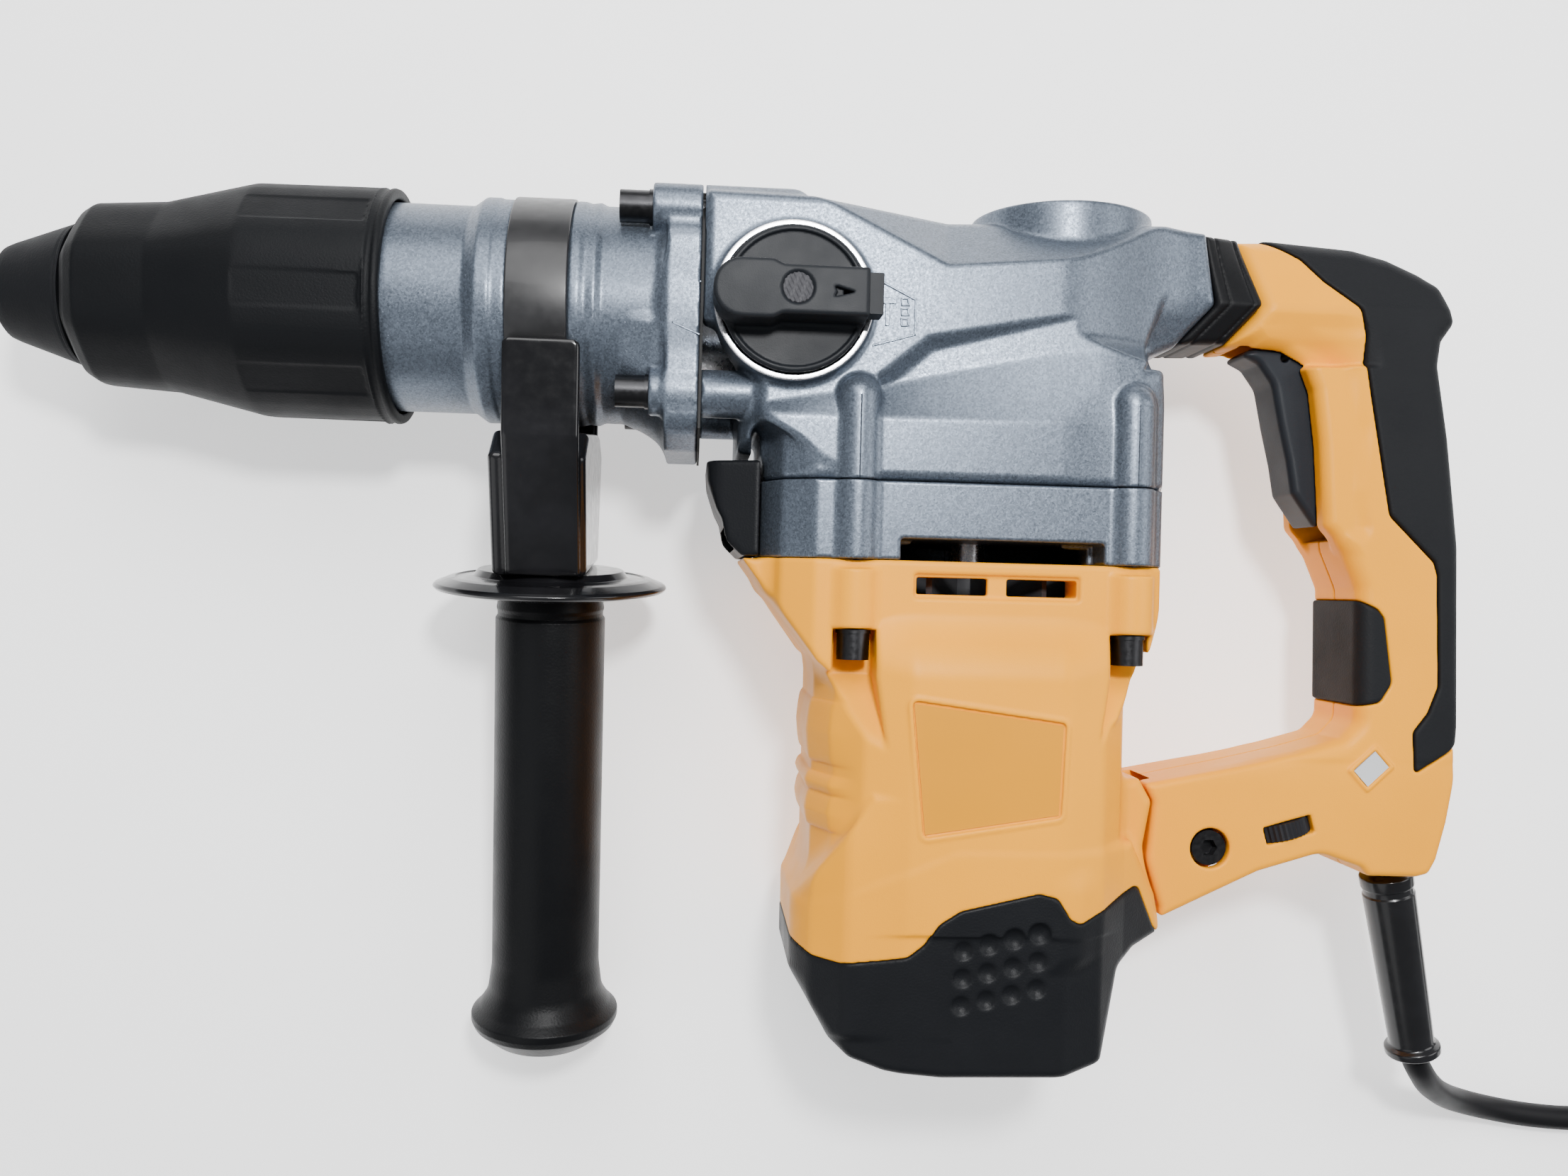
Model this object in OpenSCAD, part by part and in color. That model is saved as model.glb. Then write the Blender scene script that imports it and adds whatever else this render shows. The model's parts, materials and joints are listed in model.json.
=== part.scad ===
// Rotary hammer with an 18 mm splined tool holder.
// Frame: the spindle runs along X with the mouth of the tool bore at the origin and the rear at +X.
// +Y is the top of the tool as it is held, and +Z is its right-hand side, where the mode knob is.
// The tool lies on its other side, so it rests on a plane at z = -rest_z.

/* [Body] */
// Distance from the spindle's mid-plane to the surface that the tool lies on
rest_z = 50; // [50:1:50]
// Half width of the gear housing
gear_half_w = 40; // [39:0.5:41]
// Wall of the die-cast housings
cast_wall = 4; // [3:0.5:4.5]
// Half width of the motor housing across its flats
motor_half_w = 50; // [50:1:50]

/* [Chuck] */
// Radius of the tool bore
bore_r = 9.05; // [9.05:0.05:9.1]
// Largest radius of the locking sleeve
sleeve_r = 37.7; // [37:0.1:38]

/* [Side handle] */
// Swing of the side handle about the barrel, so that its end lies on the surface
grip_tilt = 6; // [6:0.5:6]
// Radius of the side grip
grip_r = 18.2; // [17:0.1:19]
// Radius of the grip's flared end
flare_r = 25; // [23:0.5:25]
// Radius of the round hand guard
guard_r = 38.8; // [36:0.2:40]

/* [Rear handle] */
// Half width of the rear handle
handle_half_w = 19; // [18:0.5:20]
// Wall of the handle shells
shell_wall = 3; // [2.5:0.5:3.5]

/* [Gears] */
// Teeth on the armature pinion
pinion_teeth = 10; // [10:1:10]
// Teeth on the crank gear
crank_teeth = 48; // [48:1:48]
// Teeth on the gear of the intermediate shaft
mid_teeth = 40; // [40:1:40]
// Teeth on the small pinion that drives the spindle
drive_teeth = 12; // [12:1:12]
// Teeth on the spindle gear
spindle_teeth = 40; // [40:1:40]
// Throw of the crank
crank_throw = 12; // [10:0.5:12]

/* [Cord] */
// Diameter of the mains cord
cord_d = 9; // [8:0.5:9]

/* [Hidden] */
$fn = 64;
fine = 96;
gap = 0.3;        // between pieces that do not touch
run = 0.05;       // radial running clearance
skin = 0.1;       // small clearance inside one body

motor_x = 311;    // armature axis, parallel to Y
crank_x = motor_x + (pinion_teeth + crank_teeth) / 2;
mid_x = motor_x - (pinion_teeth + mid_teeth) / 2;
gasket_x = 219.5;
gasket_t = 0.8;
case_top_y = -54.5;
case_low_y = -78.5;
cap_y = -198;
motor_low_y = -233;
knob_at = [247.5, -1.5];
front_screw = [28.5, 29];
motor_screw_x = [268.5, 354];
motor_screw_z = 38;
pivot_at = [390.3, -169.5];
clamp_x = 171.8;
dial_at = [416.8, -163.2];
lens_at = [444, -142.6];
dial_tilt = 16;
crank_top_y = 37;
fan_r = 36.5;
tube_bore_r = 16;
ram_bore_r = 13;
stem_r = 9.6;
tooth_pitch = 360 / spindle_teeth;

// ---------- shared shapes ----------

module along_x(x0, x1, r0, r1 = undef, y = 0, z = 0) {
  translate([x0, y, z]) rotate([0, 90, 0])
    cylinder(h = x1 - x0, r1 = r0, r2 = is_undef(r1) ? r0 : r1, $fn = fine);
}

module along_y(y0, y1, r0, r1 = undef, x = 0, z = 0) {
  translate([x, y0, z]) rotate([-90, 0, 0])
    cylinder(h = y1 - y0, r1 = r0, r2 = is_undef(r1) ? r0 : r1, $fn = fine);
}

module along_z(z0, z1, r0, r1 = undef, x = 0, y = 0) {
  translate([x, y, z0]) cylinder(h = z1 - z0, r1 = r0, r2 = is_undef(r1) ? r0 : r1, $fn = fine);
}

// A profile of [x, radius] points turned about the spindle axis
module turned_x(profile) {
  rotate([90, 0, 90]) rotate_extrude($fn = fine) polygon([for (p = profile) [p[1], p[0]]]);
}

// A profile of [radius, y] points turned about an axis parallel to Y
module turned_y(profile, x = 0, z = 0) {
  translate([x, 0, z]) rotate([-90, 0, 0]) rotate_extrude($fn = fine) polygon(profile);
}

module slab(points, z0, z1) {
  translate([0, 0, z0]) linear_extrude(z1 - z0) polygon(points);
}

module block(from, to) {
  translate(from) cube(to - from);
}

// An outline in the X-Z plane, carried up from y0 to y1
module plan(points, y0, y1) {
  translate([0, y1, 0]) rotate([90, 0, 0]) linear_extrude(y1 - y0) polygon(points);
}

function both(points) = concat(points, [for (i = [len(points) - 1:-1:0]) [points[i][0], -points[i][1]]]);

// A spur gear with straight-sided teeth, slimmer than half the pitch so that a pair runs freely
module spur(teeth, m, phase) {
  r = m * teeth / 2;
  step = 360 / teeth;
  tip = r + 0.8 * m;
  root = r - 1.1 * m;
  polygon([for (i = [0:teeth - 1]) for (k = [[root, -0.3], [tip, -0.13], [tip, 0.13], [root, 0.3]])
    k[0] * [cos(phase + step * (i + k[1])), sin(phase + step * (i + k[1]))]]);
}

module gear_y(teeth, m, phase, x, y0, y1) {
  translate([x, y1, 0]) rotate([90, 0, 0]) linear_extrude(y1 - y0) spur(teeth, m, phase);
}

// A cap screw along +X with its head at the low end
module cap_screw_x(x0, length, y, z) {
  difference() {
    union() {
      along_x(x0, x0 + 9, 5, y = y, z = z);
      along_x(x0 + 9, x0 + 9 + length, 3, y = y, z = z);
    }
    translate([x0 - 1, y, z]) rotate([0, 90, 0]) cylinder(h = 5, r = 2.9, $fn = 6);
  }
}

// A cap screw along +Y with its head at the low end
module cap_screw_y(y0, length, x, z) {
  difference() {
    union() {
      along_y(y0, y0 + 8, 5, x = x, z = z);
      along_y(y0 + 8, y0 + 8 + length, 3, x = x, z = z);
    }
    translate([x, y0 - 1, z]) rotate([-90, 0, 0]) cylinder(h = 5, r = 2.9, $fn = 6);
  }
}

// ---------- barrel and gear housing ----------

// Places a child at each of the four front screws, in the Y-Z plane
module at_front_screws() {
  for (y = [-1, 1]) for (z = [-1, 1]) translate([0, y * front_screw[0], z * front_screw[1]]) children();
}

module at_motor_screws() {
  for (x = motor_screw_x) for (z = [-1, 1]) translate([x, 0, z * motor_screw_z]) children();
}

flange = [[-46, 24], [-40, 36], [20, 37], [34, 28], [36, 12]];

module flange_plate(x0, x1) {
  translate([x0, 0, 0]) rotate([90, 0, 90]) linear_extrude(x1 - x0)
    polygon(both(flange));
}

module barrel_housing() color("silver") {
  difference() {
    union() {
      turned_x([[99, 20], [99, 33.3], [148, 33.3], [151, 36.2], [160, 36.2], [160, 35.2], [179.2, 35.2],
        [179.2, 36.2], [186, 36.2], [188, 35.4], [gasket_x, 35.4], [gasket_x, 20]]);
      flange_plate(211, gasket_x);
      intersection() {
        turned_x([[196, 0], [196, 36], [212, 47], [212, 0]]);
        block([196, -47, -30], [212, 0, 30]);
      }
      at_front_screws() along_x(204.2, gasket_x, 7.4);
    }
    along_x(98, 120, 21);
    along_x(119, 134, 30);
    along_x(133, 220, 28);
    at_front_screws() along_x(190, 204.2, 6);
    at_front_screws() along_x(203, 221, 3.1);
  }
}

module barrel_gasket() color("dimgray") {
  difference() {
    flange_plate(gasket_x, gasket_x + gasket_t);
    along_x(218, 222, 30);
    at_front_screws() along_x(218, 222, 3.1);
  }
}

gear_side = [[220.3, -46], [220.3, 32.5], [251.4, 32.1], [366.7, 32.8], [371, 32.4], [371, -7.4], [366, -9.5],
  [365, -20], [368, -34], [370.5, case_top_y], [240, case_top_y], [240, -48]];
gear_neck = [[352, 33], [366.7, 32.8], [383.4, 31.2], [387, 8.2], [375.5, -5.5], [352, -9]];
gear_inner = [[224, -42], [224, 28], [362, 28], [362, -14], [361.8, -22], [365.4, -36], [366.8, -60],
  [244.5, -60], [244.5, -44]];

module gear_section(half, top) {
  rotate([90, 0, 90]) linear_extrude(200)
    polygon(both([[-80, half], [9, half], [top - 6, 24], [top, 14]]));
}

module gear_housing() color("silver") {
  difference() {
    union() {
      intersection() {
        slab(gear_side, -gear_half_w, gear_half_w);
        translate([220.3, 0, 0]) gear_section(gear_half_w, 35);
      }
      slab(gear_neck, -21, 21);
      at_front_screws() along_x(220.3, 249.5, 7.4);
      for (x = motor_screw_x) for (z = [-1, 1]) {
        along_y(case_top_y, -29, 7, x = x, z = z * motor_screw_z);
        translate([x, -29, z * motor_screw_z]) sphere(r = 7, $fn = 48);
      }
      along_z(30, 44, 24.2, x = knob_at[0], y = knob_at[1]);
      along_z(-rest_z, -30, 22, x = knob_at[0], y = knob_at[1]);
      along_y(8, crank_top_y, 30, x = crank_x);
    }
    difference() {
      intersection() {
        slab(gear_inner, -gear_half_w + cast_wall, gear_half_w - cast_wall);
        translate([220.3, 0, 0]) gear_section(gear_half_w - cast_wall, 30.5);
      }
      block([238, -42, -40], [256, 40, 40]);
    }
    along_x(220, 240, 30);
    along_x(237, 252, 30);
    along_x(251, 257, 27);
    along_x(262, 279, 30.8);
    along_z(33, 60, 5.05, x = knob_at[0], y = knob_at[1]);
    along_z(40, 60, 22.3, x = knob_at[0], y = knob_at[1]);
    along_y(crank_top_y - 8, 40, 24, x = crank_x);
    along_y(18, 40, 20, x = crank_x);
    slab([[366, 26.5], [389, 26.5], [392, 8], [378, -1], [366, -3]], -16, 16);
    at_front_screws() along_x(219, 246, 3.1);
    at_motor_screws() along_y(-56, -30, 3.1);
  }
}

module grease_cap() color("dimgray") {
  difference() {
    along_y(crank_top_y - 7.9, crank_top_y - 1, 23.9, x = crank_x);
    for (s = [-1, 1]) along_y(crank_top_y - 4, crank_top_y, 2, x = crank_x + s * 14);
  }
}

case_plan = both([[240, 24], [246, 36], [256, 42], [357, 42], [364.7, 36], [370.5, 20]]);

module gear_case_base() color("silver") {
  difference() {
    union() {
      plan(case_plan, case_low_y, case_top_y);
      at_motor_screws() along_y(case_low_y, case_top_y, 7.2);
    }
    along_y(-80, -72, 38, x = motor_x);
    along_y(-70, -54, 17.5, x = motor_x);
    along_y(-73, -69, 9, x = motor_x);
    along_y(-66, -54, 9, x = crank_x);
    along_y(-66, -54, 7, x = mid_x);
    block([282, -78.6, 30], [345, -72, 50]);
    at_motor_screws() along_y(-80, -53, 3.1);
  }
}

module front_guard() color([0.13, 0.13, 0.14]) {
  difference() {
    slab([[222.5, -48.6], [239.6, -48.6], [239.6, -78.3], [234, -78.3], [230, -72], [226, -62]], -30, 30);
    slab([[229, -52], [236, -52], [236, -76], [235, -76], [232, -70]], -27, 27);
  }
}

// ---------- motor ----------

motor_plan = both([[257, 20], [262, 34], [271, 44], [285, motor_half_w], [333, motor_half_w], [346, 44.5], [354.5, 34],
  [359.5, 20]]);
motor_inner = both([[260.5, 19], [265, 32], [273, 41], [286, 46.5], [332, 46.5], [344, 41.5], [351.5, 32], [356, 19]]);
cap_top_y = -180;
cap_step_x = 301.6;
cap_side = [[253, cap_y - 0.2], [253.5, -207], [257.5, -212], [264, -224], [270, -228.5], [280, -231.5],
  [296, motor_low_y], [335, motor_low_y], [347.5, -230.5], [354, -203], [360, -198], [368, -195.5], [372, -196.4],
  [373.4, -193], [366, cap_top_y], [cap_step_x, cap_top_y], [cap_step_x, cap_y - 0.2]];

module motor_housing() color("orange") {
  difference() {
    union() {
      slab([[234, case_low_y], [245, -93], [258, -110], [300, -130], [350, -112], [364, case_low_y]], -42, 42);
      slab([[330, case_low_y], [370, case_low_y], [360, -112], [330, -112]], -20, 20);
      plan(motor_plan, cap_y, -100);
      slab([[252.4, -185], [259.5, -171], [290, -171], [290, cap_y], [252.6, cap_y]], -36, 36);
      slab([[350, -147.5], [366, -147.5], [369.3, -154], [367, -170], [369, -182], [370.5, -186], [350, -186]], -18, 18);
      at_motor_screws() along_y(-100, case_low_y, 7.4);
      slab([[350, -158], [390, -158], [397, -162], [397, -177], [390, -181], [350, -181]], -9, 9);
    }
    difference() {
      plan(motor_inner, -210, -104);
      at_motor_screws() along_y(-116, -103, 8.8);
    }
    along_y(-105, -78, 38, x = motor_x);
    at_motor_screws() along_y(-102, -78, 3.1);
    at_motor_screws() along_y(-113, -100, 6.5);
    for (x = [287.3, 315.1]) block([x, -88.8, 30], [x + 21.8, -83.6, 60]);
    slab([[cap_step_x, cap_y - 1], [cap_step_x, cap_top_y + gap], [380, cap_top_y + gap], [380, cap_y - 1]], -60, 60);
    slab([[285.5, -120.6], [332.1, -126.6], [331.1, -154.5], [289.8, -161.2]], 49, 51);
    along_z(-20, 20, 6.5, x = pivot_at[0], y = pivot_at[1]);
  }
}

module label_plate() color("goldenrod") {
  slab([[286, -121.4], [331.5, -127.2], [330.6, -154.1], [290.2, -160.5]], 49, 49.6);
}

module at_cap_screws() {
  for (s = [[285, 36], [337, 36], [285, -36], [337, -36]]) translate([s[0], 0, s[1]]) children();
}

module motor_end_cap() color([0.1, 0.1, 0.11]) {
  difference() {
    intersection() {
      slab(cap_side, -49, 49);
      plan(both([[252, 26], [258, 36], [268, 44], [284, 49], [333, 49], [346, 44], [356, 35], [374, 22]]), -250, -170);
    }
    difference() {
      intersection() {
        slab([[257, -170], [257, -207], [262, -213], [267.5, -222.5], [273, -225.5], [284, -228], [297, -229.5],
          [334, -229.5], [344.5, -227.5], [350, -202], [356, -195], [356, -170]], -45.5, 45.5);
        plan(both([[256, 25], [262, 34], [271, 41], [285, 45.5], [332, 45.5], [344, 41], [351, 34], [357, 25]]), -250, -160);
      }
      along_y(-231, -208, 16, x = motor_x);
    }
    along_y(-220, -190, 13, x = motor_x);
    at_cap_screws() along_y(-249, -190, 2.1);
  }
}

module end_cap_screws() color([0.2, 0.2, 0.2]) {
  at_cap_screws() along_y(-231.5, -225, 2);
}

module front_screws() color([0.15, 0.15, 0.15]) {
  for (y = [-1, 1]) for (z = [-1, 1]) cap_screw_x(194, 42, y * front_screw[0], z * front_screw[1]);
}

module front_washers() color([0.35, 0.35, 0.36]) {
  at_front_screws() difference() {
    along_x(203, 204.2, 5.4);
    along_x(202, 205, 3.1);
  }
}

module motor_screws() color([0.15, 0.15, 0.15]) {
  for (x = motor_screw_x) for (z = [-1, 1]) cap_screw_y(-109.2, 69, x, z * motor_screw_z);
}

module motor_washers() color([0.35, 0.35, 0.36]) {
  at_motor_screws() difference() {
    along_y(-101.2, -100, 5.4);
    along_y(-102, -99, 3.1);
  }
}

module stator_core() color("gray") {
  difference() {
    along_y(-170, -112, 44, x = motor_x);
    along_y(-171, -111, 24.6, x = motor_x);
  }
}

module stator_windings() color("chocolate") {
  for (y = [[-112, -108], [-178, -170]]) difference() {
    along_y(y[0], y[1], 42, x = motor_x);
    along_y(y[0] - 1, y[1] + 1, 28, x = motor_x);
  }
}

module air_baffle() color([0.12, 0.12, 0.12]) {
  difference() {
    plan(both([[261, 18.5], [266, 32], [274, 40.5], [286, 46], [332, 46], [343, 41], [350.5, 31.5], [355.5, 18.5]]),
      -107.5, -105.5);
    along_y(-109, -104, 24, x = motor_x);
    at_motor_screws() along_y(-109, -104, 9);
  }
}

module brush_holders() color("peru") {
  for (s = [-1, 1]) difference() {
    block([305, -202, s > 0 ? 16 : -40], [317, -190, s > 0 ? 40 : -16]);
    block([307, -200, s > 0 ? 15 : -38], [315, -192, s > 0 ? 38 : -15]);
  }
}

module carbon_brushes() color([0.1, 0.1, 0.1]) {
  for (s = [-1, 1]) block([307.1, -199.9, s > 0 ? 14.2 : -34], [314.9, -192.1, s > 0 ? 34 : -14.2]);
}

module ring_y(y0, y1, r_in, r_out, x) {
  difference() {
    along_y(y0, y1, r_out, x = x);
    along_y(y0 - 1, y1 + 1, r_in, x = x);
  }
}

module ring_x(x0, x1, r_in, r_out) {
  difference() {
    along_x(x0, x1, r_out);
    along_x(x0 - 1, x1 + 1, r_in);
  }
}

module bearings() color("lightsteelblue") {
  ring_y(-69, -58, 7.5 + run, 17.5, motor_x);
  ring_y(-220, -211, 5 + run, 13, motor_x);
  ring_y(-66, -56, 6 + run, 9, crank_x);
  ring_y(-66, -56, 4 + run, 7, mid_x);
  ring_x(120, 134, 20 + run, 30);
  ring_x(238, 252, 21.5 + run, 30);
}

// ---------- armature and gear train ----------

module armature_shaft() color("silver") {
  turned_y([[0, -219.5], [5, -219.5], [5, -210], [6, -210], [6, -72], [7.5, -72], [7.5, -54], [3.5, -54], [3.5, -50],
    [0, -50]], x = motor_x);
  gear_y(pinion_teeth, 1, 0, motor_x, -50.5, -34);
}

module armature_core() color("dimgray") {
  ring_y(-170, -112, 6 + skin, 24, motor_x);
  ring_y(-178, -170, 6 + skin, 20, motor_x);
  ring_y(-112, -106, 6 + skin, 20, motor_x);
}

module commutator() color("darkorange") {
  ring_y(-206, -186, 6 + skin, 14, motor_x);
}

module cooling_fan() color([0.16, 0.16, 0.17]) {
  ring_y(-97, -94.5, 6 + skin, fan_r, motor_x);
  ring_y(-97, -82, 6 + skin, 12, motor_x);
  for (a = [0:30:359]) translate([motor_x, 0, 0]) rotate([0, a, 0]) block([11, -95, -1], [fan_r, -82, 1]);
}

module crank_gear() color("silver") {
  turned_y([[0, -65.8], [6, -65.8], [6, -49], [10, -49], [10, -48], [14, -48], [14, -38], [9, -38], [9, -22], [17, -22],
    [17, -12], [0, -12]], x = crank_x);
  gear_y(crank_teeth, 1, 180 / crank_teeth, crank_x, -48, -38);
  along_y(-13, -5, 4, x = crank_x + crank_throw);
}

module intermediate_gear() color("silver") {
  turned_y([[0, -65.8], [4, -65.8], [4, -49], [8, -49], [8, -38], [5, -38], [5, -33.5], [0, -33.5]], x = mid_x);
  gear_y(mid_teeth, 1, 180 / mid_teeth, mid_x, -48, -38);
  gear_y(drive_teeth, 1.5, 180, mid_x, -34, -26.5);
}

module spindle_gear() color("silver") {
  ring_x(263, 272, 21.5 + skin, 30.2);
  for (i = [0:spindle_teeth - 1]) rotate([(i + 0.5) * tooth_pitch, 0, 0])
    block([271, -30.2, -0.7], [277.4, -26.5, 0.7]);
}

// ---------- spindle and hammer ----------

module tool_holder() color("silver") {
  difference() {
    turned_x([[0, bore_r], [0, 12], [3, 12], [3, 14], [6, 16.5], [93, 16.5], [93, 21.4], [96, 21.4], [96, 16.5],
      [112, 16.5], [112, 20], [150, 20], [150, ram_bore_r], [139, ram_bore_r], [139, stem_r], [112, stem_r],
      [112, bore_r]]);
    for (s = [-1, 1]) along_x(39.8, 60.2, 3.55, z = s * 13.35);
    for (s = [-1, 1]) block([39.8, -3.55, s > 0 ? 13.35 : -18], [60.2, 3.55, s > 0 ? 18 : -13.35]);
  }
}

module lock_rollers() color("silver") {
  for (s = [-1, 1]) along_x(40, 60, 3.5, z = s * 13.35);
}

module hammer_tube() color("silver") {
  turned_x([[150, ram_bore_r], [150, 20], [180, 20], [184, 21.5], [304, 21.5], [304, tube_bore_r],
    [188, tube_bore_r], [188, ram_bore_r]]);
}

module impact_bolt() color("gray") {
  turned_x([[117, 0], [117, stem_r - run], [145, stem_r - run], [147, ram_bore_r - run], [176, ram_bore_r - run],
    [176, 9], [190, 9], [190, 0]]);
}

module striker() color("gray") {
  turned_x([[194, 0], [194, 9], [202, 9], [202, tube_bore_r - run], [236, tube_bore_r - run], [236, 0]]);
}

module piston() color("silver") {
  difference() {
    turned_x([[264, 0], [264, tube_bore_r - run], [300, tube_bore_r - run], [300, 0]]);
    block([272, -13, -6.5], [301, 13, 6.5]);
    along_z(-20, 20, 4, x = 292);
  }
}

module connecting_rod() color("silver") {
  difference() {
    union() {
      along_y(-4.5, 4.5, 8, x = crank_x + crank_throw);
      block([292, -4.5, -4.5], [crank_x + crank_throw - 4, 4.5, 4.5]);
      along_z(-6, 6, 7, x = 292);
    }
    along_y(-6, 6, 4.1, x = crank_x + crank_throw);
  }
  along_z(-12, 12, 3.95, x = 292);
}

module dust_cap() color([0.1, 0.1, 0.1]) {
  turned_x([[0, 12.1], [0, 13.4], [1.2, 14.8], [3.5, 15.8], [23.7, 22.8], [23.7, 16.6], [6, 16.6], [2.9, 14.1],
    [2.9, 12.1]]);
}

module locking_sleeve() color([0.12, 0.12, 0.13]) {
  turned_x([[24, 17.2], [24, 22.9], [27, 27], [30, 29], [54, 30.8], [80, sleeve_r - 0.4], [112, sleeve_r],
    [121, sleeve_r], [123, 36], [123, 34.2], [89, 34.2], [89, 24], [72, 24], [72, 16.5 + run],
    [64, 16.5 + run], [64, 20], [28, 20], [28, 17.2]]);
}

module sleeve_spring() color("silver") {
  for (i = [0:4]) translate([73.8 + 4.3 * i, 0, 0]) rotate([0, 90, 0])
    rotate_extrude($fn = fine) translate([19.2, 0]) circle(r = 1.1, $fn = 16);
}

// ---------- mode selector ----------

module mode_knob() color([0.15, 0.15, 0.16]) {
  difference() {
    translate([knob_at[0], knob_at[1], 0]) {
      along_z(40.1, 46.5, 22);
      along_z(34, 41, 5);
      slab([[-20, -8.7], [21, -8.7], [21, 8.7], [-20, 8.7], [-24.5, 5], [-24.5, -5]], 46, 59);
    }
    translate([knob_at[0], knob_at[1], 0]) block([14, -6.2, 48], [22, 6.2, 57]);
  }
}

module knob_lock_button() color([0.2, 0.2, 0.21]) {
  translate([knob_at[0], knob_at[1], 0]) block([17.5, -6, 48.2], [25.2, 6, 56.8]);
}

// ---------- side handle ----------

module swung() {
  rotate([grip_tilt, 0, 0]) children();
}

module clamp_band() color([0.1, 0.1, 0.1]) swung() ring_x(160.2, 179, 35.2 + run, 36.8);

module handle_bracket() color([0.08, 0.08, 0.08]) swung() {
  difference() {
    union() {
      for (s = [-1, 1]) rotate([90, 0, 90]) translate([0, 0, 160.2]) linear_extrude(23.4)
        polygon([[-10.5, s * 37.2], [-10.5, s * 40.4], [-40, s * 40.4], [-84, s * 27.5], [-84, s * 24], [-39, s * 37.2]]);
      rotate([90, 0, 90]) translate([0, 0, 155.5]) linear_extrude(30)
        polygon(both([[-84, 25], [-46, 36], [-38.6, 24]]));
    }
    along_x(150, 190, 37.1);
    along_y(-85, -40, 4.1, x = clamp_x);
    along_y(-62, -40, 12, x = clamp_x);
  }
}

module hand_guard() color([0.08, 0.08, 0.08]) swung() {
  turned_y([[4.1, -84.1], [26, -84.1], [27, -86.1], [33, -86.8], [guard_r - 1, -88.5], [guard_r, -89.6],
    [guard_r - 1, -90.8], [30, -92.2], [22, -92.6], [4.1, -92.6]], x = clamp_x);
}

module side_grip() color([0.1, 0.1, 0.1]) swung() {
  turned_y([[4.15, -92.9], [17.2, -92.9], [grip_r, -98], [grip_r, -222], [19.5, -230], [22.4, -234.6],
    [flare_r, -237.5], [flare_r, -239], [24, -241.6], [17, -247.5], [6, -251], [0, -251], [0, -225],
    [4.15, -225]], x = clamp_x);
}

module clamp_bolt() color("silver") swung() {
  along_y(-224.5, -50, 4, x = clamp_x);
  translate([clamp_x, -50.5, 0]) rotate([-90, 0, 0]) cylinder(h = 7, r = 8.5, $fn = 6);
}

// ---------- rear handle ----------

shell_outer = [[398.9, 31.4], [412.2, 31.8], [440, 30.1], [451.1, 27.7], [460.8, 23.4], [466.1, 18.6], [468.4, 12.8],
  [470, 6], [465.7, -0.3], [464.7, -8.5], [465.1, -16.3], [468.8, -32.8], [471.7, -53.1], [473.1, -68.6],
  [474.4, -99.6], [474.6, -128.7], [474, -146], [472.5, -160], [469.5, -173], [467, -176.8], [461, -178.4],
  [444.5, -178.2], [442, -175.4], [428, -170.8], [407, -177.1], [389.7, -185.3], [374.3, -192.6], [374.2, -189],
  [371, -181], [368.9, -170], [371.2, -154.8], [368.1, -148.9], [399.1, -142.5], [419.5, -137.7], [434.9, -133.2],
  [440, -127.6], [439.2, -83.5], [437.8, -79.8], [433.6, -70.5], [433, -65.3], [439, -63.5], [435.8, -50.9],
  [437.6, -31.3], [434, -14.3], [428.3, -5.5], [419.2, -2], [405, -3], [393, -4.4], [403.6, 8.8]];
back_line = [[411.6, 31.6], [419.8, 26.5], [426.1, 18.6], [437, 9], [439.2, 0.7], [439.2, -8.9], [441.2, -21.9],
  [444.3, -36.3], [448.5, -58.9], [464, -73.9], [465.3, -77.2], [466.6, -115.2], [463.2, -124.1], [458.4, -130.4],
  [459, -144.1], [474.2, -140]];
pad_outer = [[475.4, -131], [475.4, -128.7], [475.2, -99.6], [473.9, -68.6], [472.5, -53], [469.6, -32.7],
  [465.9, -16.2], [465.4, -8.6], [466.5, -0.4], [470.8, 5.8], [469.2, 13], [466.9, 18.9], [461.3, 24],
  [451.4, 28.4], [440.2, 30.8], [412.4, 32.5]];
front_pad = [[438.6, -83.6], [445.3, -90.1], [447.5, -92.9], [450.6, -114.5], [450, -117.7], [446.8, -120.7],
  [439.4, -122.8]];

// The walls on both sides of the trigger
cheek = [[440, -9], [428.3, -5.5], [420, -8], [423, -17], [425.5, -36], [427.5, -63], [433, -69], [440, -72]];

module pad_region() {
  polygon(concat(back_line, pad_outer));
}

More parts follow.
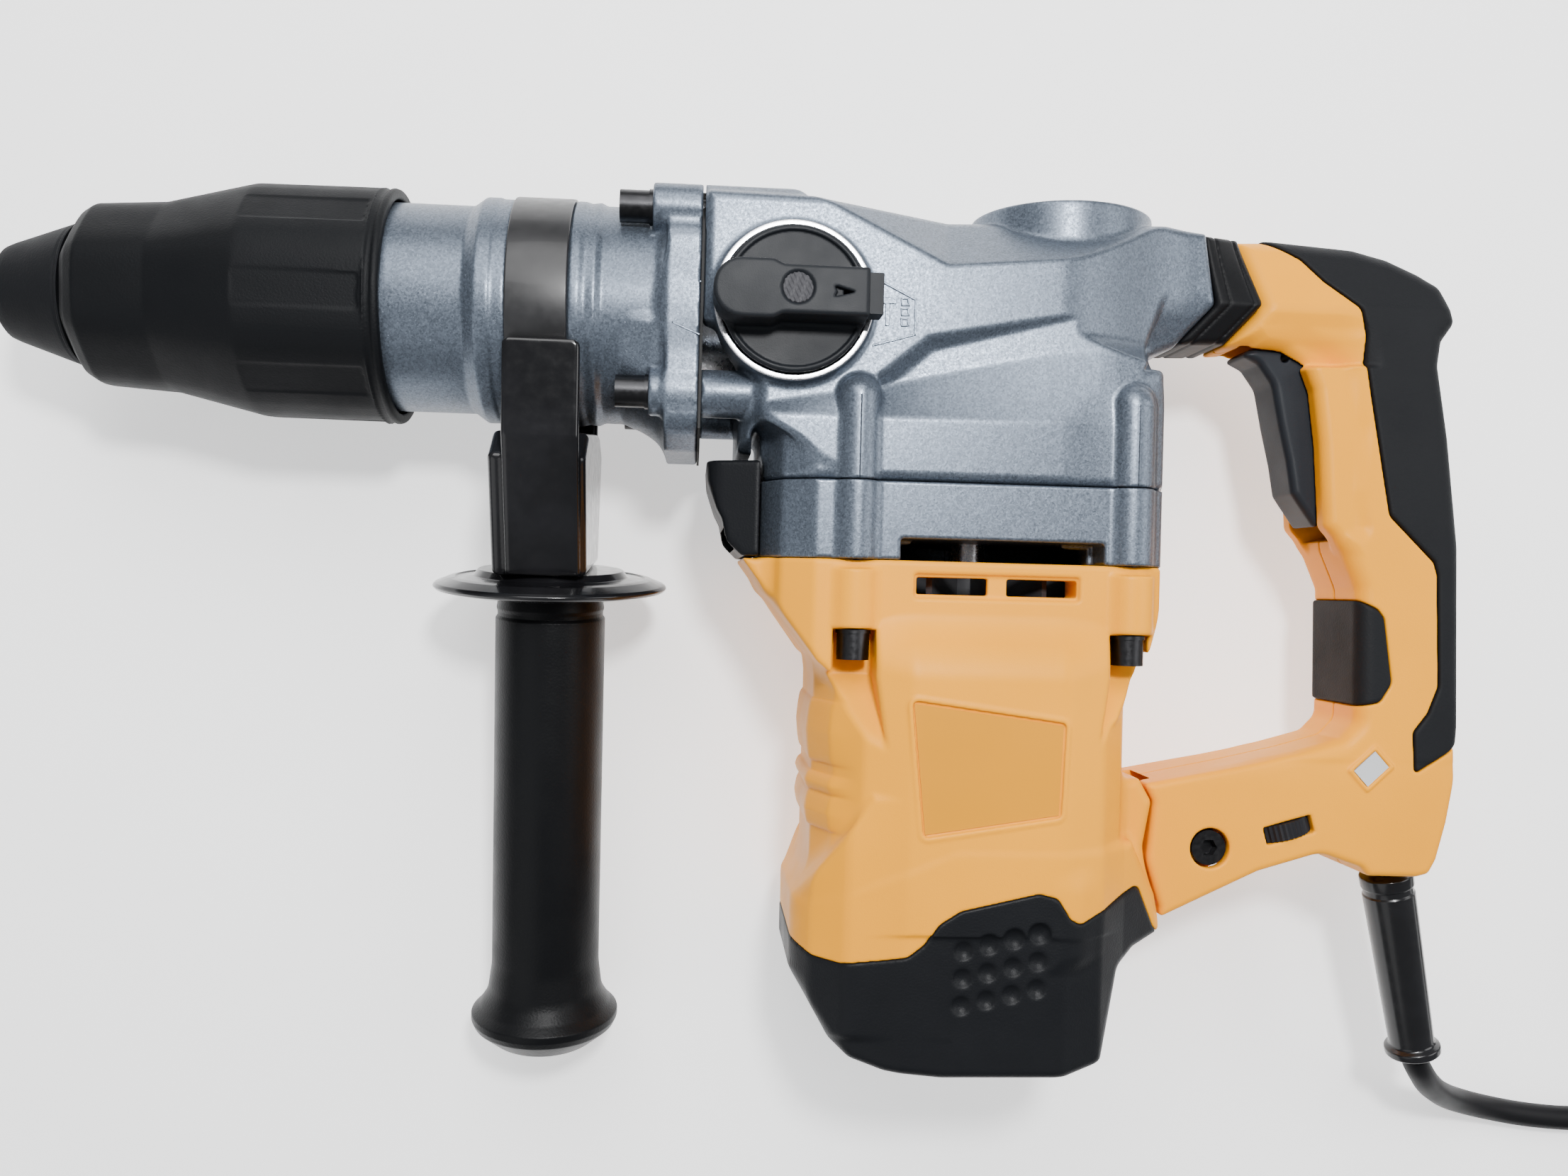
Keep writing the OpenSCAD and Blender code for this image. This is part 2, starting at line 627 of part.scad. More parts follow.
module shell_half(s) {
  z_out = s * handle_half_w;
  difference() {
    union() {
      difference() {
        slab(shell_outer, min(0, z_out), max(0, z_out));
        translate([0, 0, -30]) linear_extrude(60) pad_region();
        translate([0, 0, s > 0 ? 17.4 : -20]) linear_extrude(2.6) polygon(front_pad);
      }
      slab(cheek, s > 0 ? 9.8 : -17.5, s > 0 ? 17.5 : -9.8);
      translate([0, 0, s > 0 ? 0 : -16.4]) linear_extrude(16.4) intersection() {
        pad_region();
        offset(delta = -2.6) polygon(shell_outer);
      }
    }
    translate([0, 0, s > 0 ? -1 : -handle_half_w + shell_wall]) linear_extrude(handle_half_w - shell_wall + 1)
      difference() {
        offset(delta = -shell_wall - 2.6) polygon(shell_outer);
        square_at(458, -167, 7);
      }
    slab([[399, 1], [432, 1], [447, -18], [447, -64], [422, -70], [403, -30]], -9.5, 9.5);
    slab([[362, -147.4], [402, -150], [402, -188], [362, -196]], -9.8, 9.8);
    along_z(-17, 17, 4.1, x = pivot_at[0], y = pivot_at[1]);
    for (k = [-1, 1]) along_z(k > 0 ? 12.6 : -30, k > 0 ? 30 : -12.6, 6.6, x = pivot_at[0], y = pivot_at[1]);
    translate([dial_at[0], dial_at[1], 0]) rotate([0, 0, dial_tilt]) block([-8.3, -3, 8], [8.3, 3, 25]);
    translate([lens_at[0], lens_at[1], 0]) rotate([0, 0, 43]) block([-4.9, -3.6, 10], [4.9, 3.6, 25]);
    along_y(-182, -176, 6.5, x = 460.2);
  }
}

module square_at(x, y, half) {
  translate([x - half, y - half]) square(2 * half);
}

module handle_shell_right() color("orange") shell_half(1);

module handle_shell_left() color("orange") shell_half(-1);

module rear_grip_pad() color([0.12, 0.12, 0.13]) {
  difference() {
    translate([0, 0, -19.6]) linear_extrude(39.2) pad_region();
    translate([0, 0, -16.5]) linear_extrude(33) pad_region_core();
  }
}

module pad_region_core() {
  intersection() {
    polygon(concat(back_line, [[490, -140], [490, 40], [408, 40]]));
    offset(delta = -2.5) polygon(shell_outer);
  }
}

module front_grip_pad() color([0.12, 0.12, 0.13]) {
  for (s = [-1, 1]) slab(front_pad, s > 0 ? 17.5 : -19.6, s > 0 ? 19.6 : -17.5);
}

module handle_bellows() color([0.07, 0.07, 0.07]) {
  difference() {
    slab([[383.5, 31.2], [398.5, 31.1], [403.2, 8.8], [392.4, -4], [376.6, -4.6], [387.3, 8.2]], -20.5, 20.5);
    slab([[381, 27], [401, 27], [405, 8.8], [396, -0.5], [375, -1.5], [384, 8]], -15.5, 15.5);
  }
}

trigger_side = [[401.1, -5.9], [405, -3.3], [415, -3.3], [424, -8], [428, -17], [431, -33], [430, -52], [429, -62.8],
  [427.3, -62.6], [421.8, -55.1], [419.6, -51.9], [417.7, -41.3], [414.7, -29], [411.9, -15.5], [407, -8.8]];

module trigger() color([0.25, 0.26, 0.27]) {
  difference() {
    slab(trigger_side, -9, 9);
    slab([[415, -11], [422.5, -11], [428, -34], [434, -34], [434, -66], [425.5, -56], [420.5, -40]], -7, 7);
    block([421, -34.5, -5], [435, -25.5, 5]);
    along_z(-10, 10, 1.5, x = 415.5, y = -6.5);
  }
}

module trigger_spring() color("silver") {
  for (i = [0:3]) translate([424.5 + 2.6 * i, -30, 0]) rotate([0, 90, 0])
    rotate_extrude($fn = 48) translate([3, 0]) circle(r = 0.5, $fn = 16);
}

module switch_unit() color([0.2, 0.2, 0.22]) {
  slab([[439, -24], [444, -24], [450, -60], [441, -62]], -9, 9);
}

module speed_dial() color([0.08, 0.08, 0.08]) {
  translate([dial_at[0], dial_at[1], 10.2]) rotate([0, 0, dial_tilt]) rotate([90, 0, 0])
    translate([0, 0, -2.7]) linear_extrude(5.4) difference() {
      polygon([for (i = [0:71]) (i % 2 == 0 ? 9.7 : 9.2) * [cos(5 * i), sin(5 * i)]]);
      circle(r = 2, $fn = 32);
    }
}

module indicator_lens() color("lightgray") {
  translate([lens_at[0], lens_at[1], 0]) rotate([0, 0, 43]) block([-4.8, -3.5, 12], [4.8, 3.5, 18.8]);
}

module pivot_bolt() color([0.12, 0.12, 0.12]) {
  translate([pivot_at[0], pivot_at[1], 0]) difference() {
    union() {
      along_z(-12.5, 12.5, 4);
      along_z(12.6, 17, 5.7);
      along_z(-16.6, -12.6, 5.7);
      along_z(-13, 13, 4);
    }
    translate([0, 0, 13.5]) cylinder(h = 5, r = 2.9, $fn = 6);
  }
}

// ---------- cord ----------

guard_top = [459.9, -179.8, 0];
cord_exit = [476.2, -245.2, -8];
guard_len = norm(cord_exit - guard_top);
guard_yaw = atan2(cord_exit[0] - guard_top[0], guard_top[1] - cord_exit[1]);
guard_dip = asin((guard_top[2] - cord_exit[2]) / guard_len);

module cable_guard() color([0.05, 0.05, 0.05]) {
  translate(guard_top) rotate([0, 0, guard_yaw]) rotate([guard_dip, 0, 0]) rotate([90, 0, 0]) difference() {
    union() {
      translate([0, 0, 1]) cylinder(h = guard_len - 1, r1 = 8.8, r2 = 7.4, $fn = fine);
      translate([0, 0, guard_len - 3]) cylinder(h = 3, r = 9.2, $fn = fine);
    }
    translate([0, 0, -1]) cylinder(h = guard_len + 2, r = cord_d / 2 + skin, $fn = fine);
  }
}

// The free stretch of the cord: out of the guard, down to the surface and along it to the coil
floor_z = -rest_z + cord_d / 2;
coil_at = [650, -218];
coil_cols = 4;
coil_layers = 2;
coil_in_r = 34.5;
coil_out_r = coil_in_r + coil_cols * cord_d;
coil_h = coil_layers * cord_d;
last_turn_r = coil_out_r - cord_d / 2;
last_turn_z = -rest_z + coil_h - cord_d / 2;
free_points = [[470, -221, -5], cord_exit, [482, -254.5, -12], [491, -262.5, -21], [502, -269.5, -31],
  [514, -275, -39], [528, -279.5, -44], [543, -282.5, floor_z], [560, -284, floor_z], [580, -284, floor_z],
  [600, -284, floor_z], [620, -284, floor_z]];

// The short tail from the coil's last turn up into the plug
plug_y = -166;
plug_x = coil_at[0] + last_turn_r;
tail_points = [[plug_x, -200, last_turn_z], [plug_x, -192, -35.5], [plug_x, -184, -33], [plug_x, plug_y - 11.5, -31.2]];

function spline(p, i, t) = let (
    a = p[max(i - 1, 0)], b = p[i], c = p[i + 1], d = p[min(i + 2, len(p) - 1)]
  ) 0.5 * ((2 * b) + (c - a) * t + (2 * a - 5 * b + 4 * c - d) * t * t + (3 * b - a - 3 * c + d) * t * t * t);
function unit(v) = v / norm(v);

module tube(points, r, sides, steps) {
  n = len(points) - 1;
  line = concat([for (i = [0:n - 1]) for (k = [0:steps - 1]) spline(points, i, k / steps)], [points[n]]);
  m = len(line);
  ahead = [for (i = [0:m - 1]) unit(line[min(i + 1, m - 1)] - line[max(i - 1, 0)])];
  across = [for (d = ahead) unit(cross(d, [0, 0, 1]))];
  rings = [for (i = [0:m - 1]) for (k = [0:sides - 1])
    line[i] + r * (cos(360 * k / sides) * across[i] + sin(360 * k / sides) * cross(across[i], ahead[i]))];
  walls = [for (i = [0:m - 2]) for (k = [0:sides - 1])
    [i * sides + k, i * sides + (k + 1) % sides, (i + 1) * sides + (k + 1) % sides, (i + 1) * sides + k]];
  ends = [[for (k = [sides - 1:-1:0]) k], [for (k = [0:sides - 1]) (m - 1) * sides + k]];
  polyhedron(concat(rings), concat(walls, ends));
}

module cord() color([0.1, 0.1, 0.1]) {
  tube(free_points, cord_d / 2, 10, 2);
  tube(tail_points, cord_d / 2, 10, 2);
}

module cord_coil() color([0.1, 0.1, 0.1]) {
  translate([coil_at[0], coil_at[1], -rest_z]) rotate_extrude($fn = fine)
    translate([coil_in_r, 0]) square([coil_out_r - coil_in_r, coil_h]);
}

module cord_tie() color([0.05, 0.05, 0.05]) {
  translate([coil_at[0], coil_at[1] + (coil_in_r + coil_out_r) / 2, -rest_z]) {
    half = (coil_out_r - coil_in_r) / 2;
    difference() {
      block([-6, -half - 2.4, 0], [6, half + 1.6, coil_h + 1.6]);
      block([-7, -half - 0.8, -1], [7, half + skin, coil_h + skin]);
    }
  }
}

module mains_plug() color([0.06, 0.06, 0.06]) {
  translate([plug_x, plug_y, 19 - rest_z]) {
    along_y(0, 33.8, 19);
    along_y(-12, 0, 8, 14);
    for (s = [-1, 1]) along_y(33, 52.8, 2.4, x = 9.5 * s);
  }
}

barrel_housing();
barrel_gasket();
gear_housing();
grease_cap();
gear_case_base();
front_guard();
motor_housing();
label_plate();
motor_end_cap();
front_screws();
front_washers();
motor_screws();
motor_washers();
end_cap_screws();
stator_core();
stator_windings();
air_baffle();
brush_holders();
carbon_brushes();
bearings();
armature_shaft();
armature_core();
commutator();
cooling_fan();
crank_gear();
intermediate_gear();
tool_holder();
hammer_tube();
spindle_gear();
dust_cap();
lock_rollers();
locking_sleeve();
sleeve_spring();
impact_bolt();
striker();
piston();
connecting_rod();
mode_knob();
knob_lock_button();
clamp_band();
handle_bracket();
hand_guard();
side_grip();
clamp_bolt();
handle_shell_right();
handle_shell_left();
rear_grip_pad();
front_grip_pad();
handle_bellows();
trigger();
trigger_spring();
switch_unit();
speed_dial();
indicator_lens();
pivot_bolt();
cable_guard();
cord();
cord_coil();
cord_tie();
mains_plug();
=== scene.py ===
"""Rotary hammer: the visible pieces, their materials, a pale floor, soft light and the camera.

Lengths are in millimetres in the row's frame until a mesh is made, which is in metres.
+X runs along the spindle to the rear, +Y is the tool's top and +Z is the side with the knob.
"""
import json
import math

import bmesh
import bpy
import numpy as np
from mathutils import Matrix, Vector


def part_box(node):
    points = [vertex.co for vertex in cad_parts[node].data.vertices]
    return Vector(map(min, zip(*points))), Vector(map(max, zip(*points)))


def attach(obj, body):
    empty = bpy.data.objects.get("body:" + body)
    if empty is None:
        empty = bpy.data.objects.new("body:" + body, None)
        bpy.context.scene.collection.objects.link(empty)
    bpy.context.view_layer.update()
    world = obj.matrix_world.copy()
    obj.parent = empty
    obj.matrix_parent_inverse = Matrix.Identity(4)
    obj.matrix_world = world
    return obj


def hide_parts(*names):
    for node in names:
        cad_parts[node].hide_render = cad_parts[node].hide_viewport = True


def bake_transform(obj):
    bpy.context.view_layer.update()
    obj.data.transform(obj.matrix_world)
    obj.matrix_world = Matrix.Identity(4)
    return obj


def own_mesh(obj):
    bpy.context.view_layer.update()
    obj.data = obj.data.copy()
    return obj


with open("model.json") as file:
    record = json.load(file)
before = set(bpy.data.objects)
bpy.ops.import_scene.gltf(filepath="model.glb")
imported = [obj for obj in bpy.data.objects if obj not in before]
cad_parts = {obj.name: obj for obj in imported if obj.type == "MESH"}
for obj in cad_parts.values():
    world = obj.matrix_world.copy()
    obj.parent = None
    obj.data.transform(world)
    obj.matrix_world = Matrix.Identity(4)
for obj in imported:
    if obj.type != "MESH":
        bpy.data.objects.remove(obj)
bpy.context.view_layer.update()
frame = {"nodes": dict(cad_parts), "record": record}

import openvdb
from mathutils import Matrix, Vector

MM = 0.001
CELL = 0.5      # grid step of the sculpted housings
REST_Z = 50.0                          # the surface that the tool lies on is at z = -REST_Z
HAIR = 0.15                            # half of a fine gap between two shells
PLASTIC_GLOSS = 0.14                   # specular level of moulded plastic and rubber
SHARP_ANGLE = math.radians(35)         # turned pieces show an edge from this angle
EDGE_ANGLE = math.radians(40)          # edges sharper than this are bevelled
MARK_EDGE = 0.15                       # bevel of the raised signs
WIRE_STEPS, WIRE_SIDES = 36, 10        # steps in a turn of a spring, and sides of its wire
FLOOR_GAP, FLOOR_HALF = 0.0002, 4.0    # the floor's gap below the tool and its half width, in metres


# ---------------------------------------------------------------- camera

IMAGE_W = 2212
FOCAL_PX = 1840
AIM = Vector((249.7, -88.0, 0.0))
DISTANCE = 435.0
YAW, ROLL = math.radians(4.0), math.radians(1.5)


def make_camera():
    forward = Vector((math.sin(YAW), 0, -math.cos(YAW)))
    right = Vector((math.cos(YAW), 0, math.sin(YAW)))
    up = Vector((0, 1, 0))
    x_axis = right * math.cos(ROLL) + up * math.sin(ROLL)
    y_axis = up * math.cos(ROLL) - right * math.sin(ROLL)
    data = bpy.data.cameras.new("camera")
    data.sensor_width = 36.0
    data.lens = data.sensor_width * FOCAL_PX / IMAGE_W
    camera = bpy.data.objects.new("camera", data)
    turn = Matrix((x_axis, y_axis, -forward)).transposed().to_4x4()
    camera.matrix_world = Matrix.Translation((AIM - forward * DISTANCE) * MM) @ turn
    bpy.context.scene.collection.objects.link(camera)
    bpy.context.scene.camera = camera


make_camera()


# ---------------------------------------------------------------- material kit

class Nodes:
    """A short way to write a procedural material."""

    def __init__(self, name, color, rough, metallic=0.0):
        self.mat = bpy.data.materials.new(name)
        self.mat.use_nodes = True
        self.tree = self.mat.node_tree
        self.shader = self.tree.nodes["Principled BSDF"]
        self.shader.inputs["Base Color"].default_value = (*color, 1.0)
        self.shader.inputs["Roughness"].default_value = rough
        self.shader.inputs["Metallic"].default_value = metallic
        self.mat.diffuse_color = (*color, 1.0)
        self.place = self.tree.nodes.new("ShaderNodeTexCoord").outputs["Object"]
        self.height = None

    def link(self, a, b):
        self.tree.links.new(a, b)

    def noise(self, scale, detail=2.0, stretch=(1, 1, 1)):
        """Noise with features about 1/scale of a metre across."""
        mapping = self.tree.nodes.new("ShaderNodeMapping")
        mapping.inputs["Scale"].default_value = stretch
        node = self.tree.nodes.new("ShaderNodeTexNoise")
        node.inputs["Scale"].default_value = scale
        node.inputs["Detail"].default_value = detail
        self.link(self.place, mapping.inputs["Vector"])
        self.link(mapping.outputs["Vector"], node.inputs["Vector"])
        return node.outputs["Fac"]

    def cells(self, scale):
        node = self.tree.nodes.new("ShaderNodeTexVoronoi")
        node.inputs["Scale"].default_value = scale
        self.link(self.place, node.inputs["Vector"])
        return node.outputs["Color"], node.outputs["Distance"]

    def remap(self, value, low, high, to_low, to_high):
        node = self.tree.nodes.new("ShaderNodeMapRange")
        for name, v in zip(("From Min", "From Max", "To Min", "To Max"), (low, high, to_low, to_high)):
            node.inputs[name].default_value = v
        self.link(value, node.inputs["Value"])
        return node.outputs["Result"]

    def blend_colors(self, value, a, b):
        node = self.tree.nodes.new("ShaderNodeMix")
        node.data_type = "RGBA"
        node.inputs["A"].default_value = (*a, 1.0)
        node.inputs["B"].default_value = (*b, 1.0)
        self.link(value, node.inputs["Factor"])
        return node.outputs["Result"]

    def color(self, value, a, b):
        self.link(self.blend_colors(value, a, b), self.shader.inputs["Base Color"])

    def rough(self, value, low, high):
        self.link(self.remap(value, 0.25, 0.75, low, high), self.shader.inputs["Roughness"])

    def bump(self, value, depth, strength=1.0):
        """Adds relief of that depth, in metres."""
        node = self.tree.nodes.new("ShaderNodeBump")
        node.inputs["Strength"].default_value = strength
        node.inputs["Distance"].default_value = depth
        self.link(value, node.inputs["Height"])
        if self.height is not None:
            self.link(self.height, node.inputs["Normal"])
        self.height = node.outputs["Normal"]
        self.link(self.height, self.shader.inputs["Normal"])


def tone(color, by):
    return tuple(c * by for c in color)


def moulded(name, color, rough=0.45, grain=0.00004, grain_scale=2600, spread=0.06):
    """Moulded plastic: fine spark-eroded grain, slow colour drift and faint handling marks."""
    m = Nodes(name, color, rough)
    drift = m.noise(18, 3)
    m.color(m.remap(drift, 0.35, 0.65, 0, 1), tone(color, 1 - spread), tone(color, 1 + spread))
    m.rough(m.noise(60, 4), rough - 0.06, rough + 0.07)
    m.bump(m.noise(grain_scale, 2), grain)
    m.shader.inputs["Specular IOR Level"].default_value = PLASTIC_GLOSS
    return m


def cast_paint():
    """Silver hammer-finish paint on a die casting, with bright flakes in it."""
    base = (0.11, 0.132, 0.165)
    m = Nodes("cast_silver", base, 0.36, 0.72)
    flakes, _ = m.cells(1900)
    m.color(flakes, tone(base, 0.72), tone(base, 1.45))
    m.bump(flakes, 0.0001, 1.0)
    m.bump(m.noise(700, 3), 0.00003)
    m.rough(m.noise(1300, 2), 0.28, 0.48)
    return m.mat


def gloss_black(name, color=(0.006, 0.006, 0.007), rough=0.16):
    m = Nodes(name, color, rough)
    m.shader.inputs["Coat Weight"].default_value = 0.12
    m.shader.inputs["Specular IOR Level"].default_value = 0.4
    m.shader.inputs["Coat Roughness"].default_value = 0.08
    m.color(m.remap(m.noise(40, 3), 0.4, 0.6, 0, 1), tone(color, 0.8), tone(color, 1.3))
    m.rough(m.noise(300, 4), rough - 0.03, rough + 0.08)
    m.bump(m.noise(260, 3), 0.00005, 0.5)
    return m.mat


def metal(name, color, rough=0.3, stretch=(1, 1, 1)):
    m = Nodes(name, color, rough, 1.0)
    m.color(m.remap(m.noise(90, 3), 0.35, 0.65, 0, 1), tone(color, 0.85), tone(color, 1.1))
    m.rough(m.noise(700, 2, stretch), rough - 0.07, rough + 0.08)
    m.bump(m.noise(900, 2, stretch), 0.00002)
    return m.mat


def lens_material():
    m = Nodes("clear_lens", (0.78, 0.8, 0.82), 0.12)
    m.shader.inputs["Transmission Weight"].default_value = 0.35
    m.rough(m.noise(500, 2), 0.08, 0.2)
    return m.mat


YELLOW = (0.86, 0.335, 0.0)
MATERIALS = {
    "cast_silver": cast_paint(),
    "gasket": moulded("gasket", (0.03, 0.03, 0.03), 0.7).mat,
    "dark_cap": moulded("dark_cap", (0.05, 0.05, 0.055), 0.5).mat,
    "black_plastic": moulded("black_plastic", (0.006, 0.0066, 0.008), 0.46, 0.00008, 1700).mat,
    "orange_plastic": moulded("orange_plastic", YELLOW, 0.42, spread=0.03).mat,
    "ochre_label": moulded("ochre_label", (0.62, 0.245, 0.0), 0.5, 0.00001, spread=0.03).mat,
    "black_screw": metal("black_screw", (0.035, 0.035, 0.037), 0.35),
    "lamination": metal("lamination", (0.3, 0.3, 0.31), 0.45, (1, 40, 1)),
    "copper": metal("copper", (0.6, 0.27, 0.12), 0.35),
    "brass": metal("brass", (0.72, 0.55, 0.26), 0.3),
    "carbon": moulded("carbon", (0.02, 0.02, 0.02), 0.6).mat,
    "steel": metal("steel", (0.58, 0.58, 0.6), 0.28),
    "fan_plastic": moulded("fan_plastic", (0.035, 0.035, 0.038), 0.4).mat,
    "soft_rubber": moulded("soft_rubber", (0.007, 0.0076, 0.009), 0.62, 0.00009, 1500).mat,
    "chuck_rubber": moulded("chuck_rubber", (0.0035, 0.004, 0.005), 0.55, 0.00007, 1500).mat,
    "knob_plastic": moulded("knob_plastic", (0.01, 0.0115, 0.014), 0.45).mat,
    "black_band": gloss_black("black_band", (0.012, 0.012, 0.013), 0.34),
    "gloss_black": gloss_black("gloss_black"),
    "grip_plastic": moulded("grip_plastic", (0.004, 0.0043, 0.005), 0.4, 0.00008, 1300).mat,
    "bellows_rubber": moulded("bellows_rubber", (0.004, 0.0042, 0.005), 0.5, 0.00006).mat,
    "trigger_plastic": moulded("trigger_plastic", (0.014, 0.016, 0.02), 0.45).mat,
    "switch_plastic": moulded("switch_plastic", (0.05, 0.05, 0.055), 0.5).mat,
    "dial_plastic": moulded("dial_plastic", (0.014, 0.014, 0.016), 0.4).mat,
    "clear_lens": lens_material(),
    "gloss_guard": gloss_black("gloss_guard", (0.008, 0.008, 0.009), 0.2),
    "cord_rubber": moulded("cord_rubber", (0.007, 0.007, 0.008), 0.48, 0.00004).mat,
    "tie_rubber": moulded("tie_rubber", (0.015, 0.015, 0.016), 0.5).mat,
    "plug_rubber": moulded("plug_rubber", (0.018, 0.018, 0.02), 0.5).mat,
}
SLOT_OF = {s["node"]: s["material_slot"] for s in frame["record"]["subparts"]}
BODY_OF = {node: body for body, nodes in frame["record"]["behaviour"]["bodies"].items() for node in nodes}

for node_name, node_object in frame["nodes"].items():
    node_object.data.materials.clear()
    node_object.data.materials.append(MATERIALS[SLOT_OF[node_name]])


# ---------------------------------------------------------------- mesh kit

def add_piece(name, mesh, node, slot=None, replaces=None, bends=None):
    """Links a mesh in metres as a piece that rides on its node's body, or stays unparented with its transform baked
    when bends is given, in its finish.
    """
    piece = bpy.data.objects.new(name, mesh)
    bpy.context.scene.collection.objects.link(piece)
    slot = slot or SLOT_OF[node]
    mesh.materials.append(MATERIALS[slot])
    if bends:
        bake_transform(piece)
    else:
        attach(piece, BODY_OF[node])
    if replaces is None:
        replaces = [node]
    if replaces:
        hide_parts(*replaces)
    return piece


def smooth(mesh):
    mesh.polygons.foreach_set("use_smooth", [True] * len(mesh.polygons))


def mesh_of(name, bm, to_world=None):
    """The mesh of finished faces, with their normals outwards."""
    bmesh.ops.recalc_face_normals(bm, faces=bm.faces)
    if to_world:
        bm.transform(to_world)
    mesh = bpy.data.meshes.new(name)
    bm.to_mesh(mesh)
    bm.free()
    return mesh


def lathe(name, node, profile, to_world, steps=96, replaces=None, slot=None):
    """A closed profile of (radius, along) points turned about a local Z axis."""
    bm = bmesh.new()
    rings = []
    for k in range(steps):
        a = 2 * math.pi * k / steps
        rings.append([bm.verts.new((r * math.cos(a) * MM, r * math.sin(a) * MM, h * MM)) for r, h in profile])
    n = len(profile)
    for k in range(steps):
        here, there = rings[k], rings[(k + 1) % steps]
        for i in range(n):
            j = (i + 1) % n
            if profile[i][0] == 0 and profile[j][0] == 0:
                continue
            bm.faces.new((here[i], there[i], there[j], here[j]))
    bmesh.ops.remove_doubles(bm, verts=bm.verts, dist=1e-7)
    mesh = mesh_of(name, bm, to_world)
    smooth(mesh)
    mesh.set_sharp_from_angle(angle=SHARP_ANGLE)
    return add_piece(name, mesh, node, slot, replaces)


def axis_frame(axis, a=0.0, b=0.0, turn=None):
    """Takes a local Z axis to the line along a row axis through the place where the other two coordinates are a, b."""
    images = {"x": ((0, 1, 0), (0, 0, 1), (1, 0, 0)), "y": ((0, 0, 1), (1, 0, 0), (0, 1, 0)),
              "z": ((1, 0, 0), (0, 1, 0), (0, 0, 1))}[axis]
    place = {"x": (0, a, b), "y": (a, 0, b), "z": (a, b, 0)}[axis]
    to_world = Matrix.Translation(Vector(place) * MM) @ Matrix(images).transposed().to_4x4()
    return turn @ to_world if turn else to_world


def plate(name, node, shapes, low, high):
    """Flat raised shapes, each an (x, y) outline, between two heights in z."""
    bm = bmesh.new()
    for points in shapes:
        floor = bm.faces.new([bm.verts.new((x * MM, y * MM, low * MM)) for x, y in points])
        raised = bmesh.ops.extrude_face_region(bm, geom=[floor])
        top = [v for v in raised["geom"] if isinstance(v, bmesh.types.BMVert)]
        bmesh.ops.translate(bm, verts=top, vec=(0, 0, (high - low) * MM))
    piece = add_piece(name, mesh_of(name, bm), node, replaces=[])
    soften(piece, MARK_EDGE)
    return piece


def soften(piece, width):
    """Rounds the sharp edges of a piece over that width, in millimetres."""
    bevel = piece.modifiers.new("soft_edges", "BEVEL")
    bevel.width, bevel.segments = width * MM, 2
    bevel.limit_method, bevel.angle_limit = "ANGLE", EDGE_ANGLE
    bevel.use_clamp_overlap = True


def ramp(value, low, high):
    """0 below low and 1 above high, with a smooth step between them."""
    t = np.clip((value - low) / (high - low), 0, 1)
    return t * t * (3 - 2 * t)


def fillet(points, steps=6):
    """An outline with each (x, y, radius) corner rounded, and each (x, y) one left as it is."""
    out = []
    n = len(points)
    for i, p in enumerate(points):
        here = np.array(p[:2], float)
        if len(p) < 3 or p[2] <= 0:
            out.append(tuple(here))
            continue
        before = np.array(points[i - 1][:2], float) - here
        after = np.array(points[(i + 1) % n][:2], float) - here
        lb, la = np.linalg.norm(before), np.linalg.norm(after)
        before, after = before / lb, after / la
        half = math.acos(float(np.clip(before @ after, -1, 1))) / 2
        back = min(p[2] / math.tan(half), 0.48 * min(lb, la))
        radius = back * math.tan(half)
        start, stop = here + before * back, here + after * back
        middle = here + (before + after) / np.linalg.norm(before + after) * radius / math.sin(half)
        a0 = math.atan2(*(start - middle)[::-1])
        turn = (math.atan2(*(stop - middle)[::-1]) - a0 + math.pi) % (2 * math.pi) - math.pi
        for k in range(steps + 1):
            a = a0 + turn * k / steps
            out.append((middle[0] + radius * math.cos(a), middle[1] + radius * math.sin(a)))
    return out


# ---------------------------------------------------------------- mains cord

CORD_D = 9.0
ROUTE_STEPS, TURN_STEPS = 6, 60          # points of the line between two route points, and in a turn
GUARD_TOP = Vector((459.9, -179.8, 0))
CORD_EXIT = Vector((476.2, -245.2, -8))
LOWER_Z, UPPER_Z = CORD_D / 2 - REST_Z, 3 * CORD_D / 2 - REST_Z
COIL_AT = (650, -218)                  # the outer turn has radius COIL_OUT about this point
COIL_OUT, COIL_TURNS = 66.0, 6.25
PLUG_X, PLUG_Z = COIL_AT[0] + COIL_OUT, -31.0
FREE_ROUTE = [(470, -221, -5), tuple(CORD_EXIT), (482, -254.5, -12), (491, -262.5, -21), (502, -269.5, -31),
              (514, -275, -39), (528, -279.5, -44), (543, -282.5, LOWER_Z), (560, -284, LOWER_Z), (580, -284, LOWER_Z),
              (600, -284, LOWER_Z), (620, -284, LOWER_Z), (650, -284, LOWER_Z), (672, -281, LOWER_Z)]
TAIL_ROUTE = [(716, -224, UPPER_Z), (716, -218, UPPER_Z), (716, -209, UPPER_Z), (716, -200, UPPER_Z),
              (716, -192, -35.5), (716, -184, -33), (716, -177.5, -31.2), (716, -171, PLUG_Z)]


def through(route):
    """A smooth line through the points of a route, from its second point to its last but one."""
    line = []
    for a, b, c, d in zip(route, route[1:], route[2:], route[3:]):
        a, b, c, d = (Vector(p) for p in (a, b, c, d))
        for k in range(ROUTE_STEPS):
            t = k / ROUTE_STEPS
            line.append(0.5 * (2 * b + (c - a) * t + (2 * a - 5 * b + 4 * c - d) * t * t
                               + (3 * b - a - 3 * c + d) * t ** 3))
    return line + [Vector(route[-2])]


